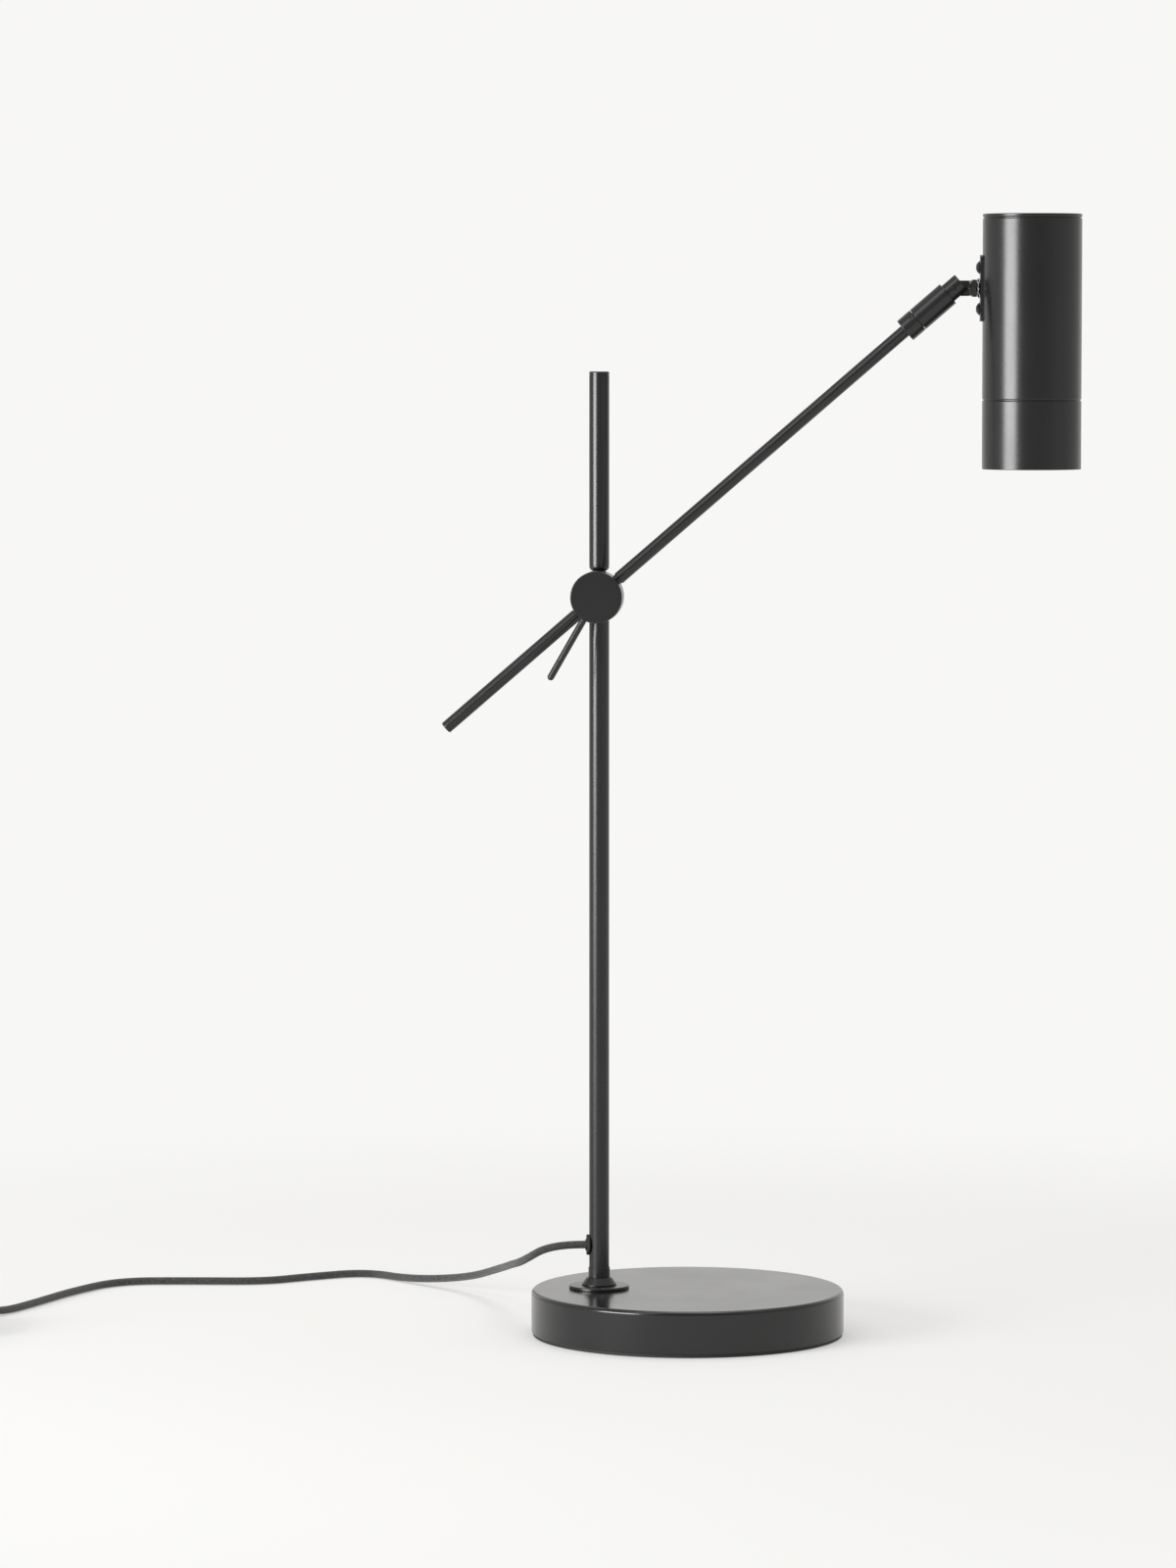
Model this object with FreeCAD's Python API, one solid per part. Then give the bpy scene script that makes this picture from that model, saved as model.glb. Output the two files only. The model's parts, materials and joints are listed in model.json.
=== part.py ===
import FreeCAD, Part
import math
import os

from FreeCAD import Placement, Rotation
from FreeCAD import Vector as V

# Desk lamp: a round weighted foot, a thin post, a balanced arm on a clamped hub, and a spot head
# on a swivel.  Millimetres.  The origin is the centre of the foot's underside, +Z is up, the arm
# reaches out towards +X, and the hub's locking knob faces -Y.

# ---- Fits -------------------------------------------------------------------------------------
RUNNING = 0.05  # radial clearance of a shaft that turns in a bore
FACE_GAP = 0.3  # between faces that turn past each other
SLIP = 0.2  # radial clearance of a piece dropped into a housing

# ---- Foot -------------------------------------------------------------------------------------
BASE_DIAMETER = 192.0
BASE_HEIGHT = 28.0
PAD_THICKNESS = 2.0
PAD_INSET = 0.9
COVER_WALL = 1.5
COVER_TOP_ROUND = 2.5
COVER_HEM_ROUND = 0.6
WEIGHT_THICKNESS = 21.0
WEIGHT_CHAMFER = 2.0

FLANGE_DIAMETER = 37.0
FLANGE_THICKNESS = 2.0
FLANGE_EDGE_ROUND = 0.6
CONE_LOWER_DIAMETER = 21.4
CONE_UPPER_DIAMETER = 16.0
CONE_LAND = 1.0
CONE_HEIGHT = 4.8
SOCKET_DIAMETER = 13.2
SOCKET_HEIGHT = 6.2
SOCKET_SCREW_DIAMETER = 3.0
SOCKET_SCREW_RISE = 1.7
STUD_DIAMETER = 8.0
STUD_RISE = 9.0
NUT_FLATS = 13.0
NUT_THICKNESS = 6.5
NUT_POCKET_DIAMETER = 22.0
WASHER_DIAMETER = 18.0
WASHER_THICKNESS = 1.6

# ---- Post -------------------------------------------------------------------------------------
POST_INSET = 41.5
POST_DIAMETER = 12.3
POST_WALL = 1.2
POST_TOP = 591.0
CAP_LIP = 2.4
CAP_EDGE_ROUND = 0.8
SPIGOT_LENGTH = 9.0
SEAM_WIDTH = 0.3
SEAM_DEPTH = 0.25

# ---- Hub --------------------------------------------------------------------------------------
HUB_HEIGHT = 454.2
HUB_DIAMETER = 31.6
HUB_WALL = 3.0
KNOB_THICKNESS = 8.0
KNOB_CHAMFER = 0.6
ARM_HUB_DEPTH = 12.4
POST_HUB_DIAMETER = 29.4
POST_HUB_DEPTH = 15.0
FRICTION_RING_THICKNESS = 0.8
FRICTION_RING_WIDTH = 2.0
FRICTION_RING_INSET = 0.3
SHOULDER_DIAMETER = 8.0
BOSS_DIAMETER = 13.0
BOLT_THREAD_DIAMETER = 6.0
KNOB_THREAD_DEPTH = 5.5
REAR_CAP_THICKNESS = 2.0
REAR_DOME_DIAMETER = 13.0
REAR_DOME_HEIGHT = 3.2
WIRE_WINDOW_WIDTH = 4.2
WIRE_WINDOW_SWEEP = 120.0
POST_NECK_DIAMETER = 8.0
POST_NECK_LENGTH = 0.6
POST_PLUG_ROUND = 3.0
LEVER_ANGLE = 240.2
LEVER_REACH = 58.0
LEVER_DIAMETER = 4.2
LEVER_TENON_DIAMETER = 3.0
LEVER_TENON_LENGTH = 5.0

# ---- Arm --------------------------------------------------------------------------------------
ARM_ANGLE = 40.9
ARM_DIAMETER = 7.7
ARM_WALL = 1.0
ARM_NECK_DIAMETER = 6.6
ARM_NECK_LENGTH = 1.1
TAIL_REACH = 123.0
TAIL_WEIGHT_LENGTH = 78.0
COLLAR_REACH = 246.7
COLLAR_LENGTH = 10.0
SWIVEL_DIAMETER = 15.2
SWIVEL_SPIGOT_DIAMETER = 11.0
SWIVEL_SPIGOT_LENGTH = 12.0
CLIP_DIAMETER = 12.6
CLIP_THICKNESS = 1.0
CLIP_GROOVE_DEPTH = 0.5
CLIP_LAND = 1.7
COLLAR_SCREW_DIAMETER = 3.0
COLLAR_SCREW_ANGLE = 24.5

# ---- Swivel -----------------------------------------------------------------------------------
SLEEVE_LENGTH = 23.85
FORK_DIAMETER = 13.0
FORK_NOSE = 5.6
FORK_CHAMFER = 0.4
TONGUE_WIDTH = 9.3
TONGUE_THICKNESS = 5.0
TONGUE_SIDE_GAP = 0.15
KNUCKLE_PIN_DIAMETER = 3.0
NECK_SHOULDER = 8.9
NUT_START = 10.6
NECK_THREAD_DIAMETER = 7.6
NECK_BORE = 4.6
HEAD_NUT_CORNERS = 12.0
HEAD_NUT_THICKNESS = 3.2
STAR_WASHER_DIAMETER = 11.8
STAR_WASHER_THICKNESS = 1.6
STAR_TEETH = 12
STAR_NOTCH_WIDTH = 1.0
STAR_NOTCH_DEPTH = 1.2

# ---- Head -------------------------------------------------------------------------------------
HEAD_DIAMETER = 60.0
HEAD_WALL = 1.2
HEAD_LENGTH = 154.0
STUB_ABOVE_MOUTH = 109.2
RING_LENGTH = 42.0
RING_SPIGOT_LENGTH = 8.0
RING_SPIGOT_WALL = 1.2
RING_LIP = 0.8
MOUTH_DEPTH = 12.0
RETAINER_THICKNESS = 1.5
RETAINER_OPENING = 47.0
HEAD_CAP_THICKNESS = 2.6
HEAD_EDGE_ROUND = 0.6
SADDLE_WIDTH = 12.0
SADDLE_HEIGHT = 40.0
SADDLE_THICKNESS = 1.7
SADDLE_CORNER = 3.0
SADDLE_SCREW_PITCH = 25.0
SADDLE_SCREW_DIAMETER = 4.0
SADDLE_SCREW_HEAD = 8.0
SADDLE_SCREW_DOME = 2.4

LAMP_DIAMETER = 50.0
LAMP_RIM_HEIGHT = 4.0
LAMP_NECK_DIAMETER = 27.0
LAMP_TAPER_TOP = 36.0
LAMP_BODY_HEIGHT = 46.0
LAMP_PIN_DIAMETER = 5.0
LAMP_PIN_LENGTH = 7.0
LAMP_PIN_PITCH = 10.0
LENS_DIAMETER = 45.0
LENS_RECESS = 0.8
LENS_THICKNESS = 1.6
HOLDER_DIAMETER = 28.0
HOLDER_HEIGHT = 16.0
BRACKET_THICKNESS = 1.2
BRACKET_WIDTH = 14.0
BRACKET_PLATE_HALF = 15.0
BRACKET_RISE = 10.0
HOLDER_SCREW_DIAMETER = 3.0
HOLDER_SCREW_PITCH = 19.0
HOLDER_SCREW_DEPTH = 8.0
HOLDER_SCREW_HEAD = 5.6
HOLDER_SCREW_HEAD_HEIGHT = 1.8
TERMINAL_LENGTH = 14.0
TERMINAL_WIDTH = 8.2
TERMINAL_HEIGHT = 11.0
TERMINAL_SCREW_HOLE = 3.2
TERMINAL_SCREW_DEPTH = 4.0

# ---- Wiring and cord --------------------------------------------------------------------------
WIRE_DIAMETER = 3.4
HOLE_OVER_WIRE = 0.6  # a hole that the wire is threaded through is this much wider
CORD_DIAMETER = 4.8
CORD_EXIT_RISE = 13.7
GROMMET_HEIGHT = 12.6
GROMMET_WIDTH = 11.2
GROMMET_FLANGE = 1.8
GROMMET_HOLE = 8.4
GROMMET_NOSE_DIAMETER = 7.4
GROMMET_NOSE = 0.5

SWITCH_LENGTH = 62.0
SWITCH_WIDTH = 23.0
SWITCH_HEIGHT = 15.0
SWITCH_WALL = 2.0
SWITCH_END_ROUND = 8.0
SWITCH_EDGE_ROUND = 2.0
SWITCH_X = -448.0
SWITCH_NEAR_Y = 4.0
ROCKER_LENGTH = 18.0
ROCKER_WIDTH = 10.0
ROCKER_TILT = 7.0
ROCKER_DEPTH = 5.0
ROCKER_PROUD = 1.2
ROCKER_AXLE_DIAMETER = 2.4
ROCKER_AXLE_DROP = 2.2
ROCKER_GAP = 0.4
ROCKER_END_TAPER = 0.7
SWITCH_SCREW_DIAMETER = 2.6
SWITCH_SCREW_PITCH = 38.0
SWITCH_SCREW_HEAD = 4.0
SWITCH_POST_DIAMETER = 5.6

COIL_TURNS = 5.5
COIL_INNER_RADIUS = 20.0
COIL_PITCH = 5.4
COIL_LAYER_RISE = 5.3
COIL_SETBACK = 50.0

PLUG_WIDTH = 35.0
PLUG_NECK_WIDTH = 12.0
PLUG_THICKNESS = 14.0
PLUG_LENGTH = 36.0
PLUG_EDGE_ROUND = 2.0
PLUG_SHOULDER = 22.0
PLUG_RELIEF_LENGTH = 24.0
PLUG_RELIEF_SEAT = 3.0  # how far the relief's root reaches into the body
PLUG_RELIEF_TIP = 6.8
PLUG_RELIEF_ROOT = 10.8
PLUG_RELIEF_RIBS = 5
PLUG_RELIEF_GROOVE = 1.6
PLUG_RELIEF_GROOVE_DEPTH = 0.8
PLUG_PIN_DIAMETER = 4.0
PLUG_PIN_LENGTH = 19.0
PLUG_PIN_SEAT = 6.0
PLUG_PIN_PITCH = 18.0
PLUG_X = -508.0
PLUG_NEAR_Y = 16.0

# ---- Places worked out from the sizes ------------------------------------------------------------
BASE_R = BASE_DIAMETER / 2
POST_X = POST_INSET - BASE_R
POST_R = POST_DIAMETER / 2
POST_BORE_R = POST_R - POST_WALL
FLANGE_TOP = BASE_HEIGHT + FLANGE_THICKNESS
CONE_TOP = FLANGE_TOP + CONE_HEIGHT
SOCKET_TOP = CONE_TOP + SOCKET_HEIGHT
CORD_EXIT_HEIGHT = SOCKET_TOP + CORD_EXIT_RISE
WEIGHT_TOP = BASE_HEIGHT - COVER_WALL
WEIGHT_BOTTOM = WEIGHT_TOP - WEIGHT_THICKNESS
NUT_TOP = PAD_THICKNESS + 1.0 + NUT_THICKNESS
WASHER_TOP = NUT_TOP + WASHER_THICKNESS

HUB_R = HUB_DIAMETER / 2
POST_HUB_R = POST_HUB_DIAMETER / 2
POST_HUB_FRONT_Y = -POST_HUB_DEPTH / 2
ARM_HUB_REAR_Y = POST_HUB_FRONT_Y - FRICTION_RING_THICKNESS - FACE_GAP
ARM_HUB_FRONT_Y = ARM_HUB_REAR_Y - ARM_HUB_DEPTH
KNOB_REAR_Y = ARM_HUB_FRONT_Y - FACE_GAP
KNOB_FRONT_Y = KNOB_REAR_Y - KNOB_THICKNESS
ARM_Y = ARM_HUB_REAR_Y - ARM_HUB_DEPTH / 2
LEVER_Y = KNOB_FRONT_Y + KNOB_THICKNESS / 2
POST_POCKET_R = POST_HUB_R - HUB_WALL
ARM_POCKET_R = HUB_R - HUB_WALL

HUB_CENTRE = V(POST_X, 0, HUB_HEIGHT)
ARM_ORIGIN = V(POST_X, ARM_Y, HUB_HEIGHT)
ARM_R = ARM_DIAMETER / 2
ARM_BORE_R = ARM_R - ARM_WALL
ARM_START = HUB_R + ARM_NECK_LENGTH
COLLAR_END = COLLAR_REACH + COLLAR_LENGTH
SLEEVE_START = COLLAR_END + FACE_GAP
SPIGOT_END = COLLAR_END + SWIVEL_SPIGOT_LENGTH
CLIP_END = SPIGOT_END - CLIP_LAND
CLIP_START = CLIP_END - CLIP_THICKNESS
FORK_ROOT = SLEEVE_START + SLEEVE_LENGTH
PIVOT_REACH = FORK_ROOT + FACE_GAP + TONGUE_WIDTH / 2
FORK_END = PIVOT_REACH + FORK_NOSE


def on_arm(shape):
    """Places a shape made along +Z from the hub's centre along the arm."""
    shape.Placement = Placement(ARM_ORIGIN, Rotation(V(0, 1, 0), 90 - ARM_ANGLE)).multiply(shape.Placement)
    return shape


def on_tail(shape):
    """Places a shape made along +Z from the hub's centre along the tail, opposite the arm."""
    shape.Placement = Placement(ARM_ORIGIN, Rotation(V(0, 1, 0), -90 - ARM_ANGLE)).multiply(shape.Placement)
    return shape


ARM_DIRECTION = V(math.cos(math.radians(ARM_ANGLE)), 0, math.sin(math.radians(ARM_ANGLE)))
PIVOT = ARM_ORIGIN + ARM_DIRECTION * PIVOT_REACH
SADDLE_FACE = NUT_START + HEAD_NUT_THICKNESS + STAR_WASHER_THICKNESS
HEAD_R = HEAD_DIAMETER / 2
HEAD_BORE_R = HEAD_R - HEAD_WALL
HEAD_X = PIVOT.x + SADDLE_FACE + SADDLE_THICKNESS + HEAD_R
HEAD_BOTTOM = PIVOT.z - STUB_ABOVE_MOUTH
HEAD_TOP = HEAD_BOTTOM + HEAD_LENGTH
RING_TOP = HEAD_BOTTOM + RING_LENGTH
HEAD_TUBE_TOP = HEAD_TOP - HEAD_CAP_THICKNESS
RETAINER_TOP = HEAD_BOTTOM + MOUTH_DEPTH + RETAINER_THICKNESS
LAMP_TOP = RETAINER_TOP + LAMP_BODY_HEIGHT
HOLDER_TOP = LAMP_TOP + HOLDER_HEIGHT
BRACKET_TOP = PIVOT.z + SADDLE_SCREW_PITCH / 2 + BRACKET_RISE
GROMMET_FACE_X = POST_X - POST_R - GROMMET_FLANGE - GROMMET_NOSE
CORD_R = CORD_DIAMETER / 2
COIL_OUTER_RADIUS = COIL_INNER_RADIUS + COIL_PITCH * COIL_TURNS / 2


# ---- Tools ------------------------------------------------------------------------------------
def cylinder(diameter, start, end, centre=V(0, 0, 0)):
    """A round bar along +Z between two heights above centre."""
    return Part.makeCylinder(diameter / 2, end - start, centre + V(0, 0, start), V(0, 0, 1))


def bar(diameter, start, end):
    """A round bar between two points."""
    return Part.makeCylinder(diameter / 2, (end - start).Length, start, end - start)


def tube(outer, bore, start, end, centre=V(0, 0, 0)):
    return cylinder(outer, start, end, centre).cut(cylinder(bore, start, end, centre))


def hexagon(flats, start, end, centre=V(0, 0, 0)):
    """A six-sided bar along +Z, with two of its corners on the X axis."""
    corner = flats / math.sqrt(3)
    points = [V(corner * math.cos(k * math.pi / 3), corner * math.sin(k * math.pi / 3), 0) for k in range(7)]
    face = Part.Face(Part.makePolygon(points))
    return face.extrude(V(0, 0, end - start)).translated(centre + V(0, 0, start))


def turned(outline, centre=V(0, 0, 0)):
    """A solid turned about a vertical axis from (radius, height) points."""
    points = [centre + V(r, 0, z) for r, z in outline]
    face = Part.Face(Part.makePolygon(points + points[:1]))
    return face.revolve(centre, V(0, 0, 1), 360)


def rims(shape, radius, height):
    """The circular edges of that radius whose centre lies at that height."""
    found = []
    for edge in shape.Edges:
        curve = edge.Curve
        if isinstance(curve, Part.Circle) and abs(curve.Radius - radius) < 1e-4:
            if abs(curve.Center.z - height) < 1e-4:
                found.append(edge)
    return found


def rounded(shape, size, *rings):
    """Rounds the rims given as (radius, height)."""
    return shape.makeFillet(size, [edge for ring in rings for edge in rims(shape, *ring)])


def facing(shape, origin, direction):
    """Places a shape made along +Z so that it starts at origin and points along direction."""
    shape.Placement = Placement(origin, Rotation(V(0, 0, 1), direction)).multiply(shape.Placement)
    return shape


def rounded_block(length, width, height, corner):
    """A block standing on Z = 0, centred in plan, with its four upright edges rounded."""
    block = Part.makeBox(length, width, height, V(-length / 2, -width / 2, 0))
    upright = [e for e in block.Edges if abs(e.Vertexes[0].Z - e.Vertexes[1].Z) > height / 2]
    return block.makeFillet(corner, upright)


def domed_screw(shank, length, head, dome):
    """A screw along +Z whose domed head lies below Z = 0 and whose shank lies above it."""
    radius = ((head / 2) ** 2 + dome ** 2) / (2 * dome)
    ball = Part.makeSphere(radius, V(0, 0, radius - dome))
    cap = ball.common(Part.makeCylinder(head, dome, V(0, 0, -dome)))
    return cap.fuse(cylinder(shank, 0, length)).removeSplitter()


def tangent_arc(start, direction, end):
    """The arc that leaves start along direction and passes through end."""
    chord = end - start
    along = chord * (1 / chord.Length)
    angle = math.acos(max(-1.0, min(1.0, direction.dot(along))))
    side = direction - along * direction.dot(along)
    if side.Length < 1e-7:
        return Part.LineSegment(start, end).toShape()
    rise = chord.Length / 2 * math.tan(angle / 2)
    middle = start + chord * 0.5 + side * (rise / side.Length)
    return Part.Arc(start, middle, end).toShape()


def biarc(start, start_direction, end, end_direction):
    """Two arcs that meet smoothly and leave start and reach end along the given directions."""
    chord = end - start
    both = start_direction + end_direction
    a = 2 * (start_direction.dot(end_direction) - 1)
    b = -2 * chord.dot(both)
    c = chord.dot(chord)
    reach = -c / b if abs(a) < 1e-9 else (-b - math.sqrt(b * b - 4 * a * c)) / (2 * a)
    near, far = start + start_direction * reach, end - end_direction * reach
    joint = (near + far) * 0.5
    across = (far - near) * (1 / (far - near).Length)
    return [tangent_arc(start, start_direction, joint), tangent_arc(joint, across, end)]


def swept_round(edges, start, direction, diameter):
    """A round tube along tangent edges, with its volume compared with section times length."""
    path = Part.Wire(edges)
    section = Part.Wire([Part.makeCircle(diameter / 2, start, direction)])
    solid = path.makePipeShell([section], True, False)
    expected = math.pi * diameter ** 2 / 4 * path.Length
    return solid, path.Length, solid.Volume / expected


def routed(name, points, diameter):
    """A round tube along straight runs that are joined by the largest tangent arcs they allow."""
    points = [V(*p) for p in points]
    edges, radii, here = [], [], points[0]
    for before, corner, after in zip(points, points[1:], points[2:]):
        inward, outward = corner - before, after - corner
        shorter = min(inward.Length, outward.Length)
        a, b = inward * (1 / inward.Length), outward * (1 / outward.Length)
        half_turn = a.getAngle(b) / 2
        trim = 0.45 * shorter
        radius = trim / math.tan(half_turn)
        radii.append(radius)
        start, end = corner - a * trim, corner + b * trim
        towards = (b - a) * (1 / (b - a).Length)
        middle = corner + towards * radius * (1 / math.cos(half_turn) - 1)
        edges.append(Part.LineSegment(here, start).toShape())
        edges.append(Part.Arc(start, middle, end).toShape())
        here = end
    edges.append(Part.LineSegment(here, points[-1]).toShape())
    solid, length, ratio = swept_round(edges, points[0], points[1] - points[0], diameter)
    listed = " ".join(f"{radius:.0f}" for radius in radii)
    print(f"{name}: length {length:.1f}, volume ratio {ratio:.4f}, radii {listed}")
    return solid


# ---- Foot -------------------------------------------------------------------------------------
def foot():
    post = V(POST_X, 0, 0)
    cover = cylinder(BASE_DIAMETER, PAD_THICKNESS, BASE_HEIGHT)
    cover = cover.cut(cylinder(BASE_DIAMETER - 2 * COVER_WALL, PAD_THICKNESS, WEIGHT_TOP))
    cover = rounded(cover, COVER_TOP_ROUND, (BASE_R, BASE_HEIGHT))
    cover = rounded(cover, COVER_HEM_ROUND, (BASE_R, PAD_THICKNESS))
    cover = cover.cut(cylinder(STUD_DIAMETER, 0, BASE_HEIGHT, post))

    weight = cylinder(BASE_DIAMETER - 2 * (COVER_WALL + SLIP), WEIGHT_BOTTOM, WEIGHT_TOP)
    weight_edge = (BASE_R - COVER_WALL - SLIP, WEIGHT_TOP)
    weight = weight.makeChamfer(WEIGHT_CHAMFER, rims(weight, *weight_edge))
    weight = weight.cut(cylinder(STUD_DIAMETER, 0, BASE_HEIGHT, post))
    weight = weight.cut(cylinder(NUT_POCKET_DIAMETER, 0, WASHER_TOP, post))

    pad = cylinder(BASE_DIAMETER - 2 * PAD_INSET, 0, PAD_THICKNESS)
    pad = pad.fuse(cylinder(BASE_DIAMETER - 2 * (COVER_WALL + SLIP), PAD_THICKNESS, WEIGHT_BOTTOM))
    pad = pad.cut(cylinder(NUT_POCKET_DIAMETER, PAD_THICKNESS, WEIGHT_BOTTOM, post)).removeSplitter()

    flange = tube(FLANGE_DIAMETER, STUD_DIAMETER, BASE_HEIGHT, FLANGE_TOP, post)
    flange = rounded(flange, FLANGE_EDGE_ROUND, (FLANGE_DIAMETER / 2, FLANGE_TOP))

    cone = turned(
        [
            (STUD_DIAMETER / 2, FLANGE_TOP),
            (CONE_LOWER_DIAMETER / 2, FLANGE_TOP),
            (CONE_LOWER_DIAMETER / 2, FLANGE_TOP + CONE_LAND),
            (CONE_UPPER_DIAMETER / 2, CONE_TOP),
            (STUD_DIAMETER / 2, CONE_TOP),
        ],
        post,
    )
    socket = tube(SOCKET_DIAMETER, POST_DIAMETER, CONE_TOP, SOCKET_TOP, post)
    screw_height = CONE_TOP + SOCKET_SCREW_RISE
    screw = bar(
        SOCKET_SCREW_DIAMETER,
        V(POST_X, -SOCKET_DIAMETER / 2, screw_height),
        V(POST_X, -POST_BORE_R, screw_height),
    )
    socket = socket.cut(screw)

    stud = tube(2 * POST_BORE_R, WIRE_DIAMETER, CONE_TOP, CONE_TOP + STUD_RISE, post)
    stud = stud.fuse(cylinder(STUD_DIAMETER, PAD_THICKNESS + 0.5, CONE_TOP, post)).removeSplitter()
    nut = hexagon(NUT_FLATS, NUT_TOP - NUT_THICKNESS, NUT_TOP, post)
    nut = nut.cut(cylinder(STUD_DIAMETER, 0, NUT_TOP, post))
    washer = tube(WASHER_DIAMETER, STUD_DIAMETER, NUT_TOP, WASHER_TOP, post)
    return {
        "base_cover": cover,
        "base_weight": weight,
        "base_pad": pad,
        "foot_flange": flange,
        "foot_cone": cone,
        "foot_socket": socket,
        "foot_screw": screw,
        "foot_stud": stud,
        "foot_nut": nut,
        "foot_washer": washer,
    }


# ---- Post -------------------------------------------------------------------------------------
def end_cap(outer, bore, start, end):
    """A flat cap with a rounded rim, a thin seam under its lip, and a spigot into the tube below."""
    lip = end - CAP_LIP
    cap = cylinder(outer, lip + SEAM_WIDTH, end)
    cap = rounded(cap, CAP_EDGE_ROUND, (outer / 2, end))
    cap = cap.fuse(cylinder(outer - 2 * SEAM_DEPTH, lip, lip + SEAM_WIDTH))
    return cap.fuse(cylinder(bore, start, lip)).removeSplitter()


def post():
    foot_screw_height = CONE_TOP + SOCKET_SCREW_RISE
    axis = V(POST_X, 0, 0)
    lower_end = HUB_HEIGHT - POST_HUB_R - POST_NECK_LENGTH
    lower = tube(POST_DIAMETER, 2 * POST_BORE_R, CONE_TOP, lower_end, axis)
    exit_inside = V(POST_X, 0, CORD_EXIT_HEIGHT)
    lower = lower.cut(bar(GROMMET_HOLE, exit_inside - V(2 * POST_R, 0, 0), exit_inside))
    screw_face, screw_tip = V(POST_X, -POST_R, foot_screw_height), V(POST_X, -POST_BORE_R, foot_screw_height)
    lower = lower.cut(bar(SOCKET_SCREW_DIAMETER, screw_face, screw_tip))

    pocket_wall = HUB_HEIGHT - POST_POCKET_R
    lower_plug = cylinder(2 * POST_BORE_R, lower_end - SPIGOT_LENGTH, lower_end, axis)
    lower_plug = lower_plug.fuse(cylinder(POST_NECK_DIAMETER, lower_end, pocket_wall, axis)).removeSplitter()
    lower_plug = lower_plug.cut(
        cylinder(WIRE_DIAMETER + HOLE_OVER_WIRE, lower_end - SPIGOT_LENGTH, pocket_wall, axis)
    )

    plug_bottom = HUB_HEIGHT + POST_HUB_R + POST_NECK_LENGTH
    plug_top = plug_bottom + POST_PLUG_ROUND + SEAM_WIDTH
    upper_plug = cylinder(POST_DIAMETER, plug_bottom, plug_bottom + POST_PLUG_ROUND, axis)
    upper_plug = rounded(upper_plug, POST_PLUG_ROUND - 0.4, (POST_R, plug_bottom))
    upper_plug = upper_plug.fuse(
        [
            cylinder(POST_DIAMETER - 2 * SEAM_DEPTH, plug_top - SEAM_WIDTH, plug_top, axis),
            cylinder(2 * POST_BORE_R, plug_top, plug_top + SPIGOT_LENGTH, axis),
            cylinder(POST_NECK_DIAMETER, HUB_HEIGHT + POST_POCKET_R, plug_bottom, axis),
        ]
    ).removeSplitter()
    upper = tube(POST_DIAMETER, 2 * POST_BORE_R, plug_top, POST_TOP - CAP_LIP, axis)
    cap = end_cap(POST_DIAMETER, 2 * POST_BORE_R, POST_TOP - CAP_LIP - SPIGOT_LENGTH, POST_TOP)
    return {
        "post_lower_tube": lower,
        "post_plugs": Part.makeCompound([lower_plug, upper_plug]),
        "post_upper_tube": upper,
        "post_top_cap": cap.translated(axis),
    }


def grommet():
    """A rubber saddle that grips the wall of the post, with a round hole for the cord."""
    axis, height = V(POST_X, 0, 0), CORD_EXIT_HEIGHT
    low, high = height - GROMMET_HEIGHT, height + GROMMET_HEIGHT
    oval = Part.Ellipse(V(0, 0, 0), GROMMET_HEIGHT / 2, GROMMET_WIDTH / 2).toShape()
    plate = Part.Face(Part.Wire([oval])).extrude(V(0, 0, POST_DIAMETER))
    plate = facing(plate, V(POST_X, 0, height), V(-1, 0, 0))
    flange = plate.common(tube(POST_DIAMETER + 2 * GROMMET_FLANGE, POST_DIAMETER, low, high, axis))
    face, inside = V(GROMMET_FACE_X, 0, height), V(POST_X - POST_BORE_R, 0, height)
    nose = bar(GROMMET_NOSE_DIAMETER, face, V(POST_X, 0, height))
    nose = nose.cut(cylinder(POST_DIAMETER, low, high, axis))
    neck = bar(GROMMET_HOLE, face, V(POST_X, 0, height)).common(
        tube(POST_DIAMETER, 2 * POST_BORE_R, low, high, axis)
    )
    body = flange.fuse([nose, neck]).removeSplitter()
    return body.cut(bar(WIRE_DIAMETER, face, inside + V(POST_BORE_R, 0, 0)))


# ---- Hub --------------------------------------------------------------------------------------
def along_y(diameter, start, end, x=POST_X, z=HUB_HEIGHT):
    return bar(diameter, V(x, start, z), V(x, end, z))


def wire_window(outer_y, inner_y):
    """A kidney-shaped hole below the bolt that lets the wire pass while the arm turns."""
    middle = (POST_POCKET_R + BOSS_DIAMETER / 2) / 2
    ring = along_y(2 * middle + WIRE_WINDOW_WIDTH, outer_y, inner_y)
    ring = ring.cut(along_y(2 * middle - WIRE_WINDOW_WIDTH, outer_y, inner_y))
    half = math.radians(WIRE_WINDOW_SWEEP / 2)
    far = 2 * HUB_R
    corners = [
        V(POST_X, outer_y, HUB_HEIGHT),
        V(POST_X - far * math.sin(half), outer_y, HUB_HEIGHT - far * math.cos(half)),
        V(POST_X, outer_y, HUB_HEIGHT - 2 * far),
        V(POST_X + far * math.sin(half), outer_y, HUB_HEIGHT - far * math.cos(half)),
    ]
    wedge = Part.Face(Part.makePolygon(corners + corners[:1])).extrude(V(0, inner_y - outer_y, 0))
    return ring.common(wedge)


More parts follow.
